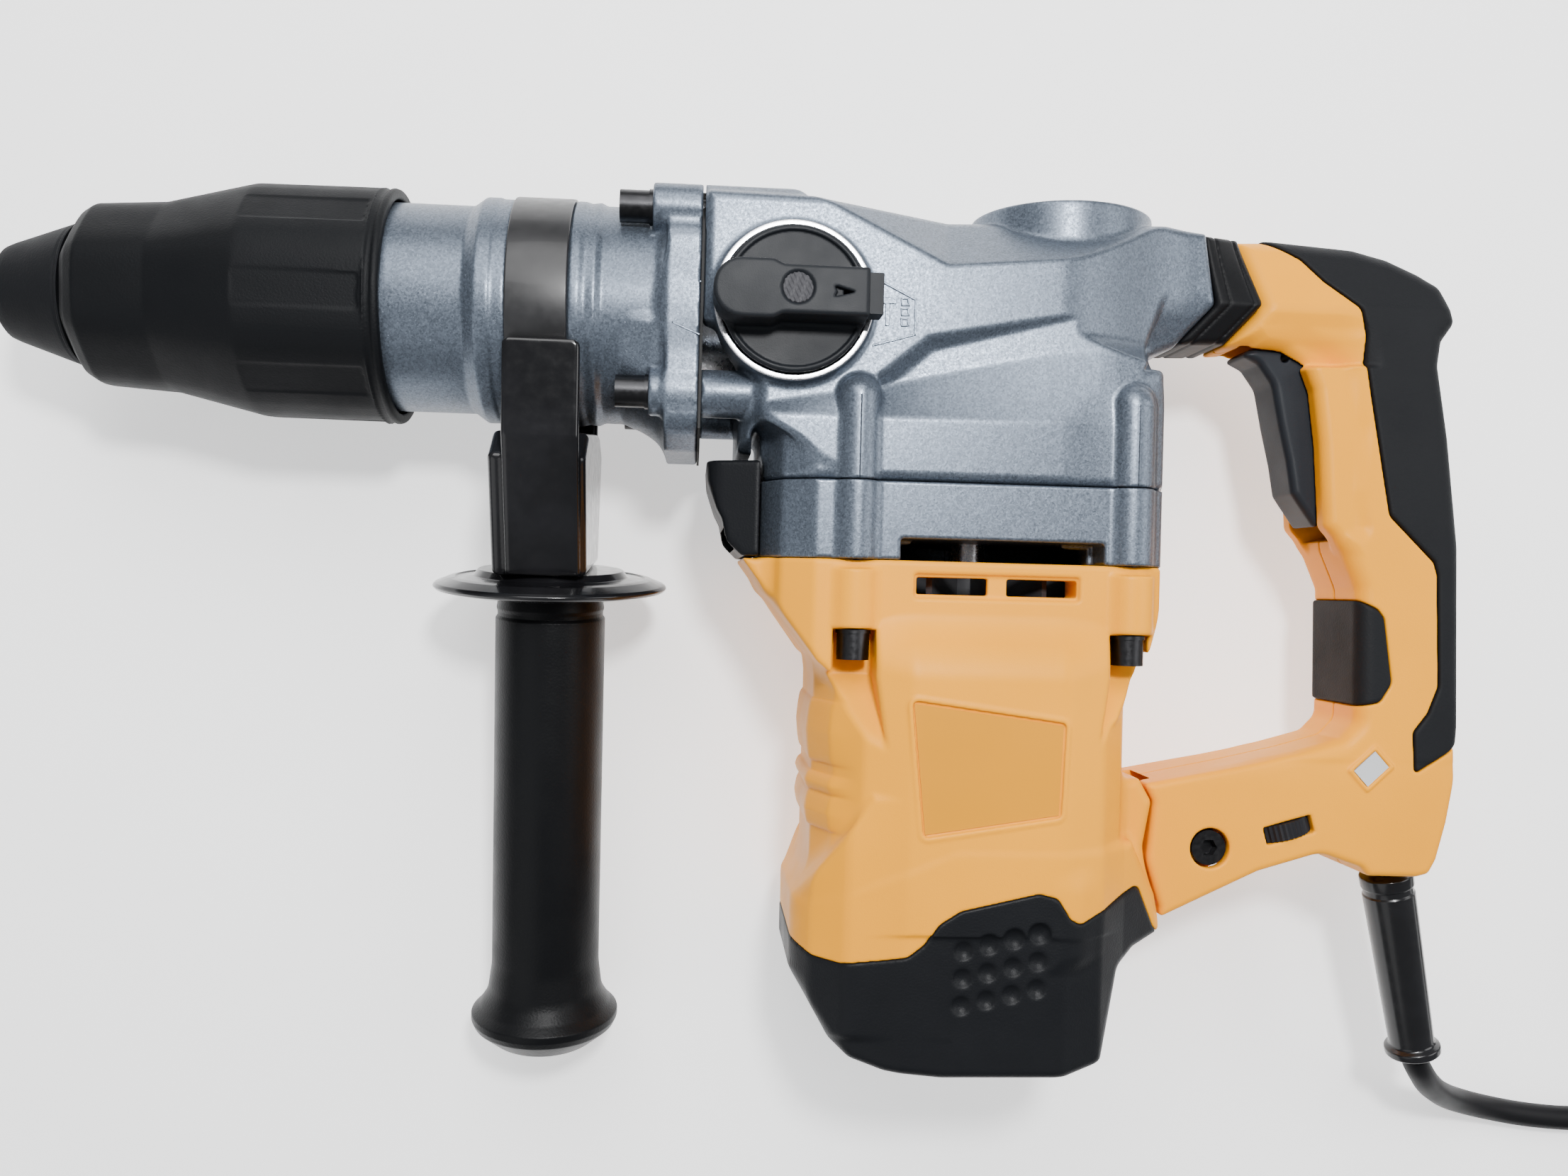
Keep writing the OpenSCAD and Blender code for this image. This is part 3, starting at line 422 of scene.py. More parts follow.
def coil_line():
    """Inwards in three steps on the surface, up by one cord, and outwards in three steps on top of those turns."""
    line = []
    for k in range(1, int(COIL_TURNS * TURN_STEPS)):
        turns = k / TURN_STEPS
        inwards = sum(ramp(turns, j + 0.5, j + 1) for j in range(3))
        outwards = sum(ramp(turns, j + 0.55, j + 1.1) for j in range(3, 6))
        radius = COIL_OUT - CORD_D * (inwards - outwards)
        angle = 2 * math.pi * turns - math.pi / 2
        line.append(Vector((COIL_AT[0] + radius * math.cos(angle), COIL_AT[1] + radius * math.sin(angle),
                            LOWER_Z + CORD_D * ramp(turns, 3.1, 3.5))))
    return line


def make_cord():
    body = [(4.7, -178), (7.4, -178), (8, -177.4), (8, -175.2), (8.6, -174.8), (9.2, -174.4), (9.2, -172.6), (10, -172),
            (10.6, -171.6), (10.6, -169.8), (11.6, -169.2), (12.2, -168.8), (12.2, -167.4), (13.8, -166), (16.6, -164),
            (18.4, -160.5), (18.6, -157), (17.6, -152), (17.4, -147), (18.2, -141.5), (19, -139), (19, -133.2),
            (18.4, -132.2), (0, -132.2), (0, -170), (4.7, -172)]
    plug = lathe("plug", "mains_plug", body, axis_frame("y", PLUG_X, PLUG_Z))
    pins = [lathe(f"plug_pin_{side}", "mains_plug", [(0, -134), (2.4, -134), (2.4, -115), (1.6, -113.4), (0, -113.2)],
                  axis_frame("y", PLUG_X + dx, PLUG_Z), 32, [], "steel") for side, dx in (("near", -9.5), ("far", 9.5))]
    line = through(FREE_ROUTE) + coil_line() + through(TAIL_ROUTE)
    curve = bpy.data.curves.new("mains_cord", "CURVE")
    curve.dimensions, curve.bevel_depth, curve.bevel_resolution = "3D", CORD_D / 2 * MM, 4
    curve.use_fill_caps = True
    spline = curve.splines.new("POLY")
    spline.points.add(len(line) - 1)
    for point, place in zip(spline.points, line):
        point.co = (*(place * MM), 1.0)
    cord = add_piece("mains_cord", curve, "cord", replaces=["cord", "cord_coil"])


def make_cable_guard():
    along = CORD_EXIT - GUARD_TOP
    n = along.length
    to_world = Matrix.Translation(GUARD_TOP * MM) @ along.to_track_quat("Z", "Y").to_matrix().to_4x4()
    profile = fillet([(4.65, 0.6), (8.8, 1, 0.6), (8.7, 5, 0.3), (8.2, 5.6, 0.3), (8.2, 7.4, 0.3), (8.6, 8, 0.3),
                      (7.4, n - 4, 1.2), (9.2, n - 2.9, 0.8), (9.2, n - 0.3, 0.8), (6.5, n - 0.1, 0.4),
                      (4.65, n - 0.1)])
    lathe("cord_guard", "cable_guard", profile, to_world)


make_cord()
make_cable_guard()


# ---------------------------------------------------------------- sculpting kit
# A shape is its signed distance on a grid, negative inside, so shapes are joined, cut and rounded by arithmetic.

class Grid:
    def __init__(self, low, high, cell=CELL):
        self.low, self.cell = low, cell
        axes = [np.arange(a, b + cell, cell, dtype=np.float32) for a, b in zip(low, high)]
        self.x, self.y, self.z = axes[0][:, None, None], axes[1][None, :, None], axes[2][None, None, :]

    def pick(self, plane):
        return [getattr(self, axis) for axis in plane]


def outline(grid, points, plane="xy"):
    """Signed distance to a closed outline in a plane of the grid."""
    u, v = grid.pick(plane)
    best, inside = None, False
    for i in range(len(points)):
        (ax, ay), (bx, by) = points[i], points[i - 1]
        ex, ey = bx - ax, by - ay
        length2 = ex * ex + ey * ey
        if length2 == 0:
            continue
        wx, wy = u - ax, v - ay
        t = np.clip((wx * ex + wy * ey) / length2, 0, 1)
        d = (wx - ex * t) ** 2 + (wy - ey * t) ** 2
        best = d if best is None else np.minimum(best, d)
        crosses = (ay > v) != (by > v)
        if by != ay:
            inside = inside ^ (crosses & (u < ex * (v - ay) / ey + ax))
    return (np.sqrt(best) * np.where(inside, -1, 1)).astype(np.float32)


def curve_distance(grid, points, plane="xy"):
    """Distance to an open line of points in a plane of the grid."""
    u, v = grid.pick(plane)
    best = None
    for (ax, ay), (bx, by) in zip(points, points[1:]):
        ex, ey = bx - ax, by - ay
        wx, wy = u - ax, v - ay
        t = np.clip((wx * ex + wy * ey) / (ex * ex + ey * ey), 0, 1)
        d = (wx - ex * t) ** 2 + (wy - ey * t) ** 2
        best = d if best is None else np.minimum(best, d)
    return np.sqrt(best).astype(np.float32)


def span(axis, low, high):
    return np.abs(axis - (low + high) / 2) - (high - low) / 2


def meet(a, b, r=0.0):
    """The overlap of two shapes, with a rounded edge of radius r."""
    if r == 0:
        return np.maximum(a, b)
    a, b = a + r, b + r
    return np.minimum(np.maximum(a, b), 0) + np.hypot(np.maximum(a, 0), np.maximum(b, 0)) - r


def join(a, b, r=0.0):
    """Both shapes together, with a fillet of radius r."""
    if r == 0:
        return np.minimum(a, b)
    return -meet(-a, -b, r)


def cut(a, b, r=0.0):
    return meet(a, -b, r)


def rod(grid, axis, low, high, centre, radius, r=0.5, taper=0.0):
    """A cylinder along an axis. centre gives its other two coordinates, in x, y, z order."""
    others = [c for c in "xyz" if c != axis]
    u, v = grid.pick(others)
    along = getattr(grid, axis)
    reach = radius + taper * (along - low) / (high - low) if taper else radius
    return meet(np.hypot(u - centre[0], v - centre[1]) - reach, span(along, low, high), r)


def ball(grid, centre, radius):
    return np.sqrt((grid.x - centre[0]) ** 2 + (grid.y - centre[1]) ** 2 + (grid.z - centre[2]) ** 2) - radius


def block(grid, low, high, r=0.5):
    flat = meet(span(grid.x, low[0], high[0]), span(grid.y, low[1], high[1]), r)
    return meet(flat, span(grid.z, low[2], high[2]), r)


def plane_cut(grid, point, normal):
    n = Vector(normal).normalized()
    return (grid.x - point[0]) * n.x + (grid.y - point[1]) * n.y + (grid.z - point[2]) * n.z


def turned(grid, points):
    """A closed outline of (x, radius) points turned about the spindle axis."""
    far = max(abs(float(grid.y.min())), abs(float(grid.y.max())))
    far = math.hypot(far, max(abs(float(grid.z.min())), abs(float(grid.z.max())))) + 1

    class Flat:
        pass

    table = Flat()
    step = grid.cell / 2
    table.x, table.y = grid.x[:, :, 0], np.arange(0, far + step, step, dtype=np.float32)[None, :]
    table.pick = lambda plane: [table.x, table.y]
    values = outline(table, points)
    radius = np.hypot(grid.y, grid.z)[0] / step
    low = radius.astype(np.int32)
    part = (radius - low).astype(np.float32)
    return values[:, low] * (1 - part) + values[:, low + 1] * part


def sculpt(name, node, grid, distance, replaces=None, slot=None, turn=None, bends=None):
    """Turns a signed distance into a closed quad mesh and adds it as a piece."""
    edge = 3 * grid.cell
    field = openvdb.FloatGrid(edge)
    field.transform = openvdb.createLinearTransform(grid.cell * MM)
    full = np.broadcast_to(distance, (grid.x.size, grid.y.size, grid.z.size))
    field.copyFromArray(np.ascontiguousarray(np.clip(full, -edge, edge), dtype=np.float32))
    points, triangles, quads = field.convertToPolygons(0.0, 0.0)
    points = points + np.array(grid.low) * MM
    mesh = bpy.data.meshes.new(name)
    faces = [q[::-1].tolist() for q in quads] + [t[::-1].tolist() for t in triangles]
    mesh.from_pydata(points.tolist(), [], faces)
    mesh.update()
    if turn:
        mesh.transform(turn)
    smooth(mesh)
    return add_piece(name, mesh, node, slot, replaces, bends)


def blurred(height, grid, reach):
    """A height map smoothed over that reach, in millimetres, so that its creases are rounded."""
    half = max(1, round(reach / grid.cell))
    weights = np.hanning(2 * half + 3)[1:-1]
    weights = (weights / weights.sum()).astype(np.float32)
    for axis in (0, 1):
        pad = [(half, half) if k == axis else (0, 0) for k in range(2)]
        padded = np.pad(height, pad, mode="edge")
        height = sum(w * np.take(padded, range(k, k + height.shape[axis]), axis) for k, w in enumerate(weights))
    return height


def relief(grid, height):
    """Distance to a surface that lies at |z| = height(x, y)."""
    gx, gy = np.gradient(height, grid.cell)
    lean = 1 / np.sqrt(1 + np.minimum(gx ** 2 + gy ** 2, 9))
    return ((np.abs(grid.z) - height[:, :, None]) * lean[:, :, None]).astype(np.float32)


def above(grid, a, b):
    """How far each (x, y) lies on the left of the line from a to b."""
    ex, ey = b[0] - a[0], b[1] - a[1]
    n = math.hypot(ex, ey)
    return ((ex * (grid.y - a[1]) - ey * (grid.x - a[0])) / n)[:, :, 0]


# ---------------------------------------------------------------- places shared with the CAD part

GASKET_X = 219.5
CASE_TOP_Y, CASE_LOW_Y = -54.5, -78.5
KNOB = (247.5, -1.5)
CRANK_X, MOTOR_X, MID_X = 340.0, 311.0, 286.0
CRANK_TOP_Y = 37.0
FRONT_SCREWS = [(y, z) for y in (-28.5, 28.5) for z in (-29.0, 29.0)]
MOTOR_SCREWS = [(x, z) for x in (268.5, 354.0) for z in (-38.0, 38.0)]
PIVOT = (390.3, -169.5)
DIAL, DIAL_TILT = (416.8, -163.2), math.radians(16)
LENS, LENS_TILT = (444.0, -142.6), math.radians(43)
CASE_HALF, MOTOR_HALF = 42.0, 50.0


def plan_points(points):
    """An outline symmetric about z = 0 from its points with z > 0, each (x, z, radius)."""
    return fillet(points + [(p[0], -p[1], *p[2:]) for p in reversed(points)])


CASE_PLAN = plan_points([(240, 24, 5), (246, 36, 5), (256, CASE_HALF, 4), (357, CASE_HALF, 4), (364.7, 36, 4),
                         (370.5, 20, 6)])
MOTOR_PLAN = plan_points([(257, 20, 8), (263, 35, 8), (272, 45, 6), (286, MOTOR_HALF, 10), (333, MOTOR_HALF, 10),
                          (346, 44.5, 8), (354.5, 34, 8), (359.5, 20, 6)])


def screw_holes_x(grid, body):
    for y, z in FRONT_SCREWS:
        body = cut(body, rod(grid, "x", 203, 246, (y, z), 3.1, 0))
    return body


def screw_holes_y(grid, body):
    for x, z in MOTOR_SCREWS:
        body = cut(body, rod(grid, "y", -102, -30, (x, z), 3.1, 0))
    return body


# ---------------------------------------------------------------- barrel

FLANGE = fillet([(-46, 22, 9), (-40, 36, 9), (20, 37, 8), (34, 28, 8), (36, 12, 6)]
                + [(36, -12, 6), (34, -28, 8), (20, -37, 8), (-40, -36, 9), (-46, -22, 9)])


def make_barrel():
    grid = Grid((97, -49, -42), (GASKET_X + 1, 41, 42))
    tube = turned(grid, fillet([
        (99, 20), (99, 33.3, 0.6), (147, 33.3, 1.5), (151, 36.2, 1.2), (155, 36.2, 0.8), (156, 35.8, 0.6),
        (160, 35.8, 0.5), (160.2, 35.2), (179.2, 35.2), (179.4, 36.2, 0.6), (182, 36.2, 0.6), (184, 35.6, 1),
        (187, 36.0, 1), (189, 35, 1.5), (GASKET_X, 35.4), (GASKET_X, 20)]))
    flange = meet(outline(grid, FLANGE, "yz"), span(grid.x, 209, GASKET_X), 0.8)
    belly = rod(grid, "x", 197, 213, (0, 0), 34.5, 1, taper=11)
    belly = meet(belly, outline(grid, fillet([(-46, 26, 8), (-46, -26, 8), (-8, -34), (-8, 34)]), "yz"), 3)
    body = join(join(tube, flange, 5), belly, 4)
    for y, z in FRONT_SCREWS:
        body = join(body, rod(grid, "x", 204.2, GASKET_X + 3, (y, z), 7.4, 0.8), 2.2)
    body = meet(body, span(grid.x, 99, GASKET_X))
    edge = curve_distance(grid, FLANGE + FLANGE[:1], "yz")
    body = cut(body, np.hypot(edge, grid.x - GASKET_X) - 0.45)
    for low, high, radius in ((98, 120, 21), (119, 134, 30), (133, 221, 28)):
        body = cut(body, rod(grid, "x", low, high, (0, 0), radius, 0))
    sculpt("barrel", "barrel_housing", grid, screw_holes_x(grid, body))


# ---------------------------------------------------------------- gear housing

def gear_side_height(grid):
    """Half width of the gear housing at each (x, y)."""
    x, y = grid.x[:, :, 0], grid.y[:, :, 0]
    side = 39.0
    over = np.minimum(above(grid, (264.4, 27), (295.3, 12.1)), above(grid, (295.3, 12.1), (362, 18.3)))
    height = np.minimum(side, side - 1.2 * over)
    low_face = 35.3 + 3.7 * np.clip((x - 286) / 62, 0, 1)
    under = np.minimum(-above(grid, (273, -23.3), (289.5, -9.8)), -above(grid, (289.5, -9.8), (346.5, 0.9)))
    height = np.where(under > 0, np.maximum(low_face, height - 0.9 * under), height)
    edge_y = np.interp(x, [240, 272, 327, 343, 356, 366], [-31.5, -25.7, -13.6, -12, -15, -25])
    slope = np.clip((edge_y - y) / (edge_y + 35.5), 0, 1)
    height = height + (CASE_HALF - height) * slope * (y < edge_y)
    neck = 20.5 + 18.5 * (1 - ramp(x, 330, 381))
    height = np.minimum(height, neck + 30 * ramp(-y, 6, 28))
    return blurred(height, grid, 1.1)


def make_gear_housing():
    grid = Grid((219, -56, -51), (389, 40, 46))
    side = fillet([(220.3, -46, 3), (220.3, 32.5, 2), (251.4, 32.1, 20), (366.7, 32.8, 30), (383.4, 31.2, 1),
                   (387, 8.2, 2), (375.5, -5.5, 1), (366, -9.5, 3), (365, -20, 12), (368, -34, 6),
                   (370.5, CASE_TOP_Y + HAIR), (240, CASE_TOP_Y + HAIR), (240, -48, 8)])
    height = gear_side_height(grid)
    shape = outline(grid, side)
    body = meet(shape, relief(grid, height), 3)
    case = outline(grid, CASE_PLAN, "xz")
    front = meet(outline(grid, FLANGE, "yz"), grid.x - 236)
    low_front = join(case, plane_cut(grid, (252, -44, 0), (-0.55, -1, 0)), 4)
    body = meet(body, join(low_front, front, 6), 2)
    body = meet(body, join(case - 8 * (1 - ramp(grid.x, 300, 345)), -8 - grid.y, 8), 2)
    neck = outline(grid, fillet([(370.5, 12), (391, 12), (391, -16), (358, -17), (363.5, -6, 4)]))
    flank = meet(neck, height[:, :, None] - np.abs(grid.z) - 0.5 * (8 - grid.y), 1)
    body = cut(body, flank, 2.5)
    body = join(body, rod(grid, "y", 6, CRANK_TOP_Y, (CRANK_X, 0), 30, 0.9), 1.0)
    body = join(body, rod(grid, "z", 10, 44, KNOB, 24.2, 0.4), 2.2)
    body = join(body, rod(grid, "z", -REST_Z, -10, KNOB, 22, 1.2), 2.2)
    for y, z in FRONT_SCREWS:
        end = 247 if y > 0 else 243
        boss = join(rod(grid, "x", GASKET_X, end, (y, z), 7.4, 0), ball(grid, (end, y, z), 7.4))
        body = join(body, boss, 1.8)
    for x, z in MOTOR_SCREWS:
        boss = join(rod(grid, "y", CASE_TOP_Y - 2, -29, (x, z), 7, 0), ball(grid, (x, -29, z), 7))
        body = join(body, boss, 1.2)
    body = meet(body, GASKET_X + 0.8 - grid.x)
    body = meet(body, CASE_TOP_Y + HAIR - grid.y)
    seam = curve_distance(grid, CASE_PLAN + CASE_PLAN[:1], "xz")
    body = cut(body, np.hypot(seam, grid.y - CASE_TOP_Y) - 0.4)
    edge = curve_distance(grid, FLANGE + FLANGE[:1], "yz")
    body = cut(body, np.hypot(edge, grid.x - GASKET_X - 0.8) - 0.45)

    room = outline(grid, fillet([(224, -42, 3), (224, 28, 3), (362, 28, 3), (362, -14, 3), (361.8, -22),
                                 (365.4, -36), (366.8, -60), (244.5, -60), (244.5, -44)]))
    room = meet(meet(room, relief(grid, height - 4.2), 2), case + 4, 2)
    room = cut(room, block(grid, (238, -42, -40), (256, 40, 40)))
    body = cut(body, room)
    for low, high, radius in ((219, 252, 30), (251, 257, 27), (262, 279, 30.8)):
        body = cut(body, rod(grid, "x", low, high, (0, 0), radius, 0))
    body = cut(body, rod(grid, "z", 33, 60, KNOB, 5.05, 0))
    body = cut(body, rod(grid, "z", 40, 60, KNOB, 22.3, 0))
    body = cut(body, rod(grid, "y", CRANK_TOP_Y - 8, 41, (CRANK_X, 0), 24, 0))
    body = cut(body, rod(grid, "y", 18, 40, (CRANK_X, 0), 20, 0))
    link = outline(grid, [(366, 26.5), (389, 26.5), (392, 8), (378, -1), (366, -3)])
    narrow = 11 - 0.55 * np.maximum(9 - grid.y[:, :, 0], 0)
    body = cut(body, meet(link, relief(grid, np.minimum(np.minimum(height - 4.5, 16), narrow))))
    body = screw_holes_y(grid, screw_holes_x(grid, body))
    sculpt("gear_case", "gear_housing", grid, body)


def make_gear_base():
    grid = Grid((238, CASE_LOW_Y - 1, -46), (373, CASE_TOP_Y + 1, 46))
    case = outline(grid, CASE_PLAN, "xz")
    body = meet(case, span(grid.y, CASE_LOW_Y, CASE_TOP_Y - HAIR))
    for x, z in MOTOR_SCREWS:
        body = join(body, rod(grid, "y", CASE_LOW_Y, CASE_TOP_Y - HAIR, (x, z), 7.2, 0), 1.5)
    body = meet(body, span(grid.y, CASE_LOW_Y, CASE_TOP_Y - HAIR))
    seam = curve_distance(grid, CASE_PLAN + CASE_PLAN[:1], "xz")
    body = cut(body, np.hypot(seam, grid.y - CASE_TOP_Y) - 0.4)
    for low, high, radius, x in ((-80, -72, 38, MOTOR_X), (-70, -53, 17.5, MOTOR_X), (-73, -69, 9, MOTOR_X),
                                 (-66, -53, 9, CRANK_X), (-66, -53, 7, MID_X)):
        body = cut(body, rod(grid, "y", low, high, (x, 0), radius, 0))
    vent = block(grid, (282, CASE_LOW_Y - 2, 30), (345, -72, 50), 0.6)
    body = cut(body, join(vent, block(grid, (284, CASE_LOW_Y - 2, 20), (343, -73.5, 34), 0)), 0.4)
    sculpt("gear_case_lower", "gear_case_base", grid, screw_holes_y(grid, body))


def make_front_guard():
    grid = Grid((220, -81, -33), (242, -46, 33), CELL * 1.2)
    side = fillet([(222.3, -48.6), (223, -55, 3), (226, -63.5, 4), (227.8, -66.8, 0.8), (229.3, -73.5, 3),
                   (230.9, -75.2, 0.8), (234.2, -78.3), (239.6, -78.3), (239.6, -48.6)])
    side = outline(grid, side)
    plan = outline(grid, fillet([(222, -26, 8), (222, 26, 8), (239.8, 32), (239.8, -32)]), "xz")
    body = meet(side, plan, 1.5)
    body = meet(body, grid.x - 239.7)
    groove = np.abs(np.abs(grid.z) - 17) - 1.1
    body = cut(body, meet(groove, 1.3 + side), 0.5)
    body = cut(body, block(grid, (229, -76, -27), (237, -52, 27), 2))
    sculpt("nose_guard", "front_guard", grid, body)


# ---------------------------------------------------------------- motor housing and end cap

CAP_LINE = fillet([(249, -197), (252.5, -197.5, 4), (259, -199.8, 6), (266.1, -200, 6), (278.3, -198.4, 8),
                   (286, -197.1, 6), (290.8, -193.3, 4), (295.1, -187, 6), (301.6, -182.9, 6), (325.2, -177.5, 4),
                   (331, -178.9, 3), (335, -185.1, 3), (338.2, -186.9, 3), (345.4, -184.1), (362, -178.5, 3),
                   (369.5, -193.3, 2), (374, -198.2), (384, -203.1), (384, -260), (249, -260)], 4)
CAP_SIDE = fillet([(253.2, -185), (253.5, -207, 3), (257.5, -212, 2), (264, -224, 3), (270, -228.5, 6),
                   (280, -231.5, 12), (297, -233.2, 12), (335, -233.2, 8), (347.8, -230.2, 2), (354.5, -203.5, 4),
                   (361, -198.6, 4), (373.2, -195.4, 1), (370.5, -184), (359.8, -165), (300, -165)])


def head_pockets(grid):
    """The hollows that the heads of the motor screws stand in, which run out downwards."""
    pockets = np.float32(50)
    floor = 31.6 + 0.75 * np.maximum(-114 - grid.y, 0)
    for x, _ in MOTOR_SCREWS[::2]:
        lane = meet(np.abs(grid.x - x) - 6.5 - 0.15 * np.maximum(-114 - grid.y, 0), span(grid.y, -140, -100))
        pockets = np.minimum(pockets, meet(lane, floor - np.abs(grid.z), 1))
    return pockets


def motor_body(grid):
    """Outer surface of the motor housing together with its end cap."""
    x, y = grid.x[:, :, 0], grid.y[:, :, 0]
    upper = meet(outline(grid, CASE_PLAN, "xz"), outline(grid, fillet([
        (234, CASE_LOW_Y), (242.5, -90, 4), (257.5, -110, 6), (275, -125), (350, -125), (359, -112, 8),
        (371, CASE_LOW_Y)])), 1.5)
    upper = join(upper, meet(block(grid, (233, -90, -30), (247, CASE_LOW_Y, 30), 2), outline(grid, fillet([
        (234, CASE_LOW_Y), (242.5, -90, 4), (257.5, -110), (257.5, CASE_LOW_Y)])), 1.5), 3)
    plan = outline(grid, MOTOR_PLAN, "xz")
    swell = meet(plan, plane_cut(grid, (300, -104, 50), (0, 0.85, 0.53)), 9)
    swell = meet(swell, plane_cut(grid, (257.5, -110, 0), (-0.6, 0.8, 0)), 4)
    ribs = np.float32(0)
    for middle, size in ((-132.6, 9.8), (-148.7, 2.9), (-157.4, 5.6)):
        ribs = ribs + np.clip(1 - np.abs(grid.y - middle) / size, 0, 1) ** 0.35 * 2.0
    swell = swell + 1.4 * (1 - ramp(grid.x, 262, 271)) - ribs * (1 - ramp(grid.x, 262, 271))
    swell = meet(swell, -190 - grid.y)
    skirt = outline(grid, fillet([(275, -150), (259.8, -173, 4), (252.4, -186, 3), (252.6, -207), (264, -222),
                                  (300, -222), (300, -150)]))
    skirt = meet(skirt, outline(grid, plan_points([(252, 22, 8), (258, 37, 8), (268, 46.5, 6), (300, 48.5)]), "xz"),
                 1.5)
    base = meet(outline(grid, CAP_SIDE), outline(grid, plan_points([
        (252, 24, 8), (258, 36, 8), (268, 45, 6), (285, 49.3, 10), (333, 49.3, 10), (346, 44.5, 6), (356, 35, 6),
        (374, 21, 4)]), "xz"), 2.5)
    body = join(join(upper, swell, 4), join(skirt, base, 2), 2)
    web = 20 + 29 * (1 - ramp(x, 336, 362)) * ramp(-y, 150, 178)
    web = meet(outline(grid, fillet([(330, -147.5, 2), (366, -147, 1), (370.3, -154.4, 3), (367.8, -169, 8),
                                     (369.6, -182, 4), (372, -194, 2), (330, -200)])),
                                     relief(grid, blurred(web, grid, 2)), 3)
    return join(body, web, 4)


def motor_room(grid):
    plan = outline(grid, plan_points([(260.5, 19, 5), (265, 32, 5), (273, 41, 5), (286, 46.5, 6), (332, 46.5, 6),
                                      (344, 41.5, 5), (351.5, 32, 5), (356, 19, 4)]), "xz")
    room = meet(plan, span(grid.y, -212, -109))
    room = cut(room, head_pockets(grid) - 2.3)
    return join(room, rod(grid, "y", -110, CASE_LOW_Y + 1, (MOTOR_X, 0), 38, 0))


def make_motor_housing():
    grid = Grid((230, -204, -52), (399, CASE_LOW_Y + 1, 52))
    body = motor_body(grid)
    for x, z in MOTOR_SCREWS:
        body = join(body, rod(grid, "y", -100, CASE_LOW_Y - 3, (x, z), 7.5, 0.6), 1.6)
    body = meet(body, grid.y - CASE_LOW_Y + HAIR)
    body = cut(body, head_pockets(grid), 1.5)
    tab = outline(grid, fillet([(350, -157), (388, -157, 8), (398, -165, 6), (398, -175, 6), (388, -181, 8),
                                (350, -181)]))
    body = join(body, meet(tab, np.abs(grid.z) - 9, 0.5), 0)
    cap = outline(grid, CAP_LINE)
    body = meet(body, -cap - HAIR, 0.5)
    recess = block(grid, (286.4, -90, 40.6), (337.6, -82.5, 60), 1)
    body = cut(body, recess, 0.6)
    for low in (287.3, 315.1):
        body = cut(body, block(grid, (low, -88.8, 18), (low + 21.8, -83.6, 60), 0.3), 0.3)
    label = outline(grid, fillet([(285.3, -120.4, 1.6), (332.3, -126.5, 1.6), (331.3, -154.7, 1.6),
                                  (289.7, -161.4, 1.6)]))
    body = join(body, meet(label - 0.9, span(grid.z, 47, 50)), 1.2)
    body = cut(body, meet(label, 49.1 - grid.z), 0.3)
    body = cut(body, motor_room(grid))
    body = cut(body, rod(grid, "z", -20, 20, PIVOT, 6.5, 0))
    sculpt("motor_case", "motor_housing", grid, screw_holes_y(grid, body))


CAP_PAD = fillet([(286.8, -202.9, 5), (301.9, -223, 4), (327.5, -218, 4), (336.1, -206.8, 4), (336.8, -194.1, 8),
                  (331.9, -184.8, 3), (328, -183.6, 2), (304.9, -188.6, 4), (298.5, -195, 4)])


def make_end_cap():
    grid = Grid((250, -236, -51), (377, -174, 51))
    body = motor_body(grid) - 0.35
    body = meet(body, outline(grid, CAP_LINE) + HAIR, 0.7)
    pad = outline(grid, CAP_PAD)
    body = np.where(grid.z > 20, cut(body, meet(np.abs(pad) - 0.9, body + 1.1), 0.5), body)
    for row in range(3):
        for column in range(4):
            x = 302.8 + 7.6 * column - 0.2 * row
            y = -194.9 + 1.7 * column - 8.2 * row
            body = cut(body, ball(grid, (x, y, 52.6), 4.2), 0.3)
    lip = np.abs(grid.y + 0.06 * (grid.x - 252) + 205) - 0.7
    lip = meet(lip, grid.x - 286)
    body = cut(body, meet(lip, body + 1.0), 0.4)
    room = outline(grid, [(257, -170), (257, -207), (262, -213), (267.5, -222.5), (273, -225.5), (284, -228),
                          (297, -229.5), (334, -229.5), (344.5, -227.5), (350, -202), (356, -195), (356, -170)])
    plan = outline(grid, plan_points([(256, 25, 3), (262, 34, 3), (271, 41, 3), (285, 45.5, 3), (332, 45.5, 3),
                                      (344, 41, 3), (351, 34, 3), (357, 25, 3)]), "xz")
    room = cut(meet(room, plan), rod(grid, "y", -231, -208, (MOTOR_X, 0), 16, 0))
    body = cut(cut(body, room), rod(grid, "y", -220, -170, (MOTOR_X, 0), 13, 0))
    for x in (285, 337):
        for z in (-36, 36):
            body = cut(body, rod(grid, "y", -236, -190, (x, z), 2.1, 0))
    for k in range(7):
        x = 301 + 4 * k
        for z in (-24, 24):
            body = cut(body, block(grid, (x - 1, -236, z - 6), (x + 1, -231.6, z + 6), 0.4))
    sculpt("end_cap", "motor_end_cap", grid, body)


# ---------------------------------------------------------------- rear handle

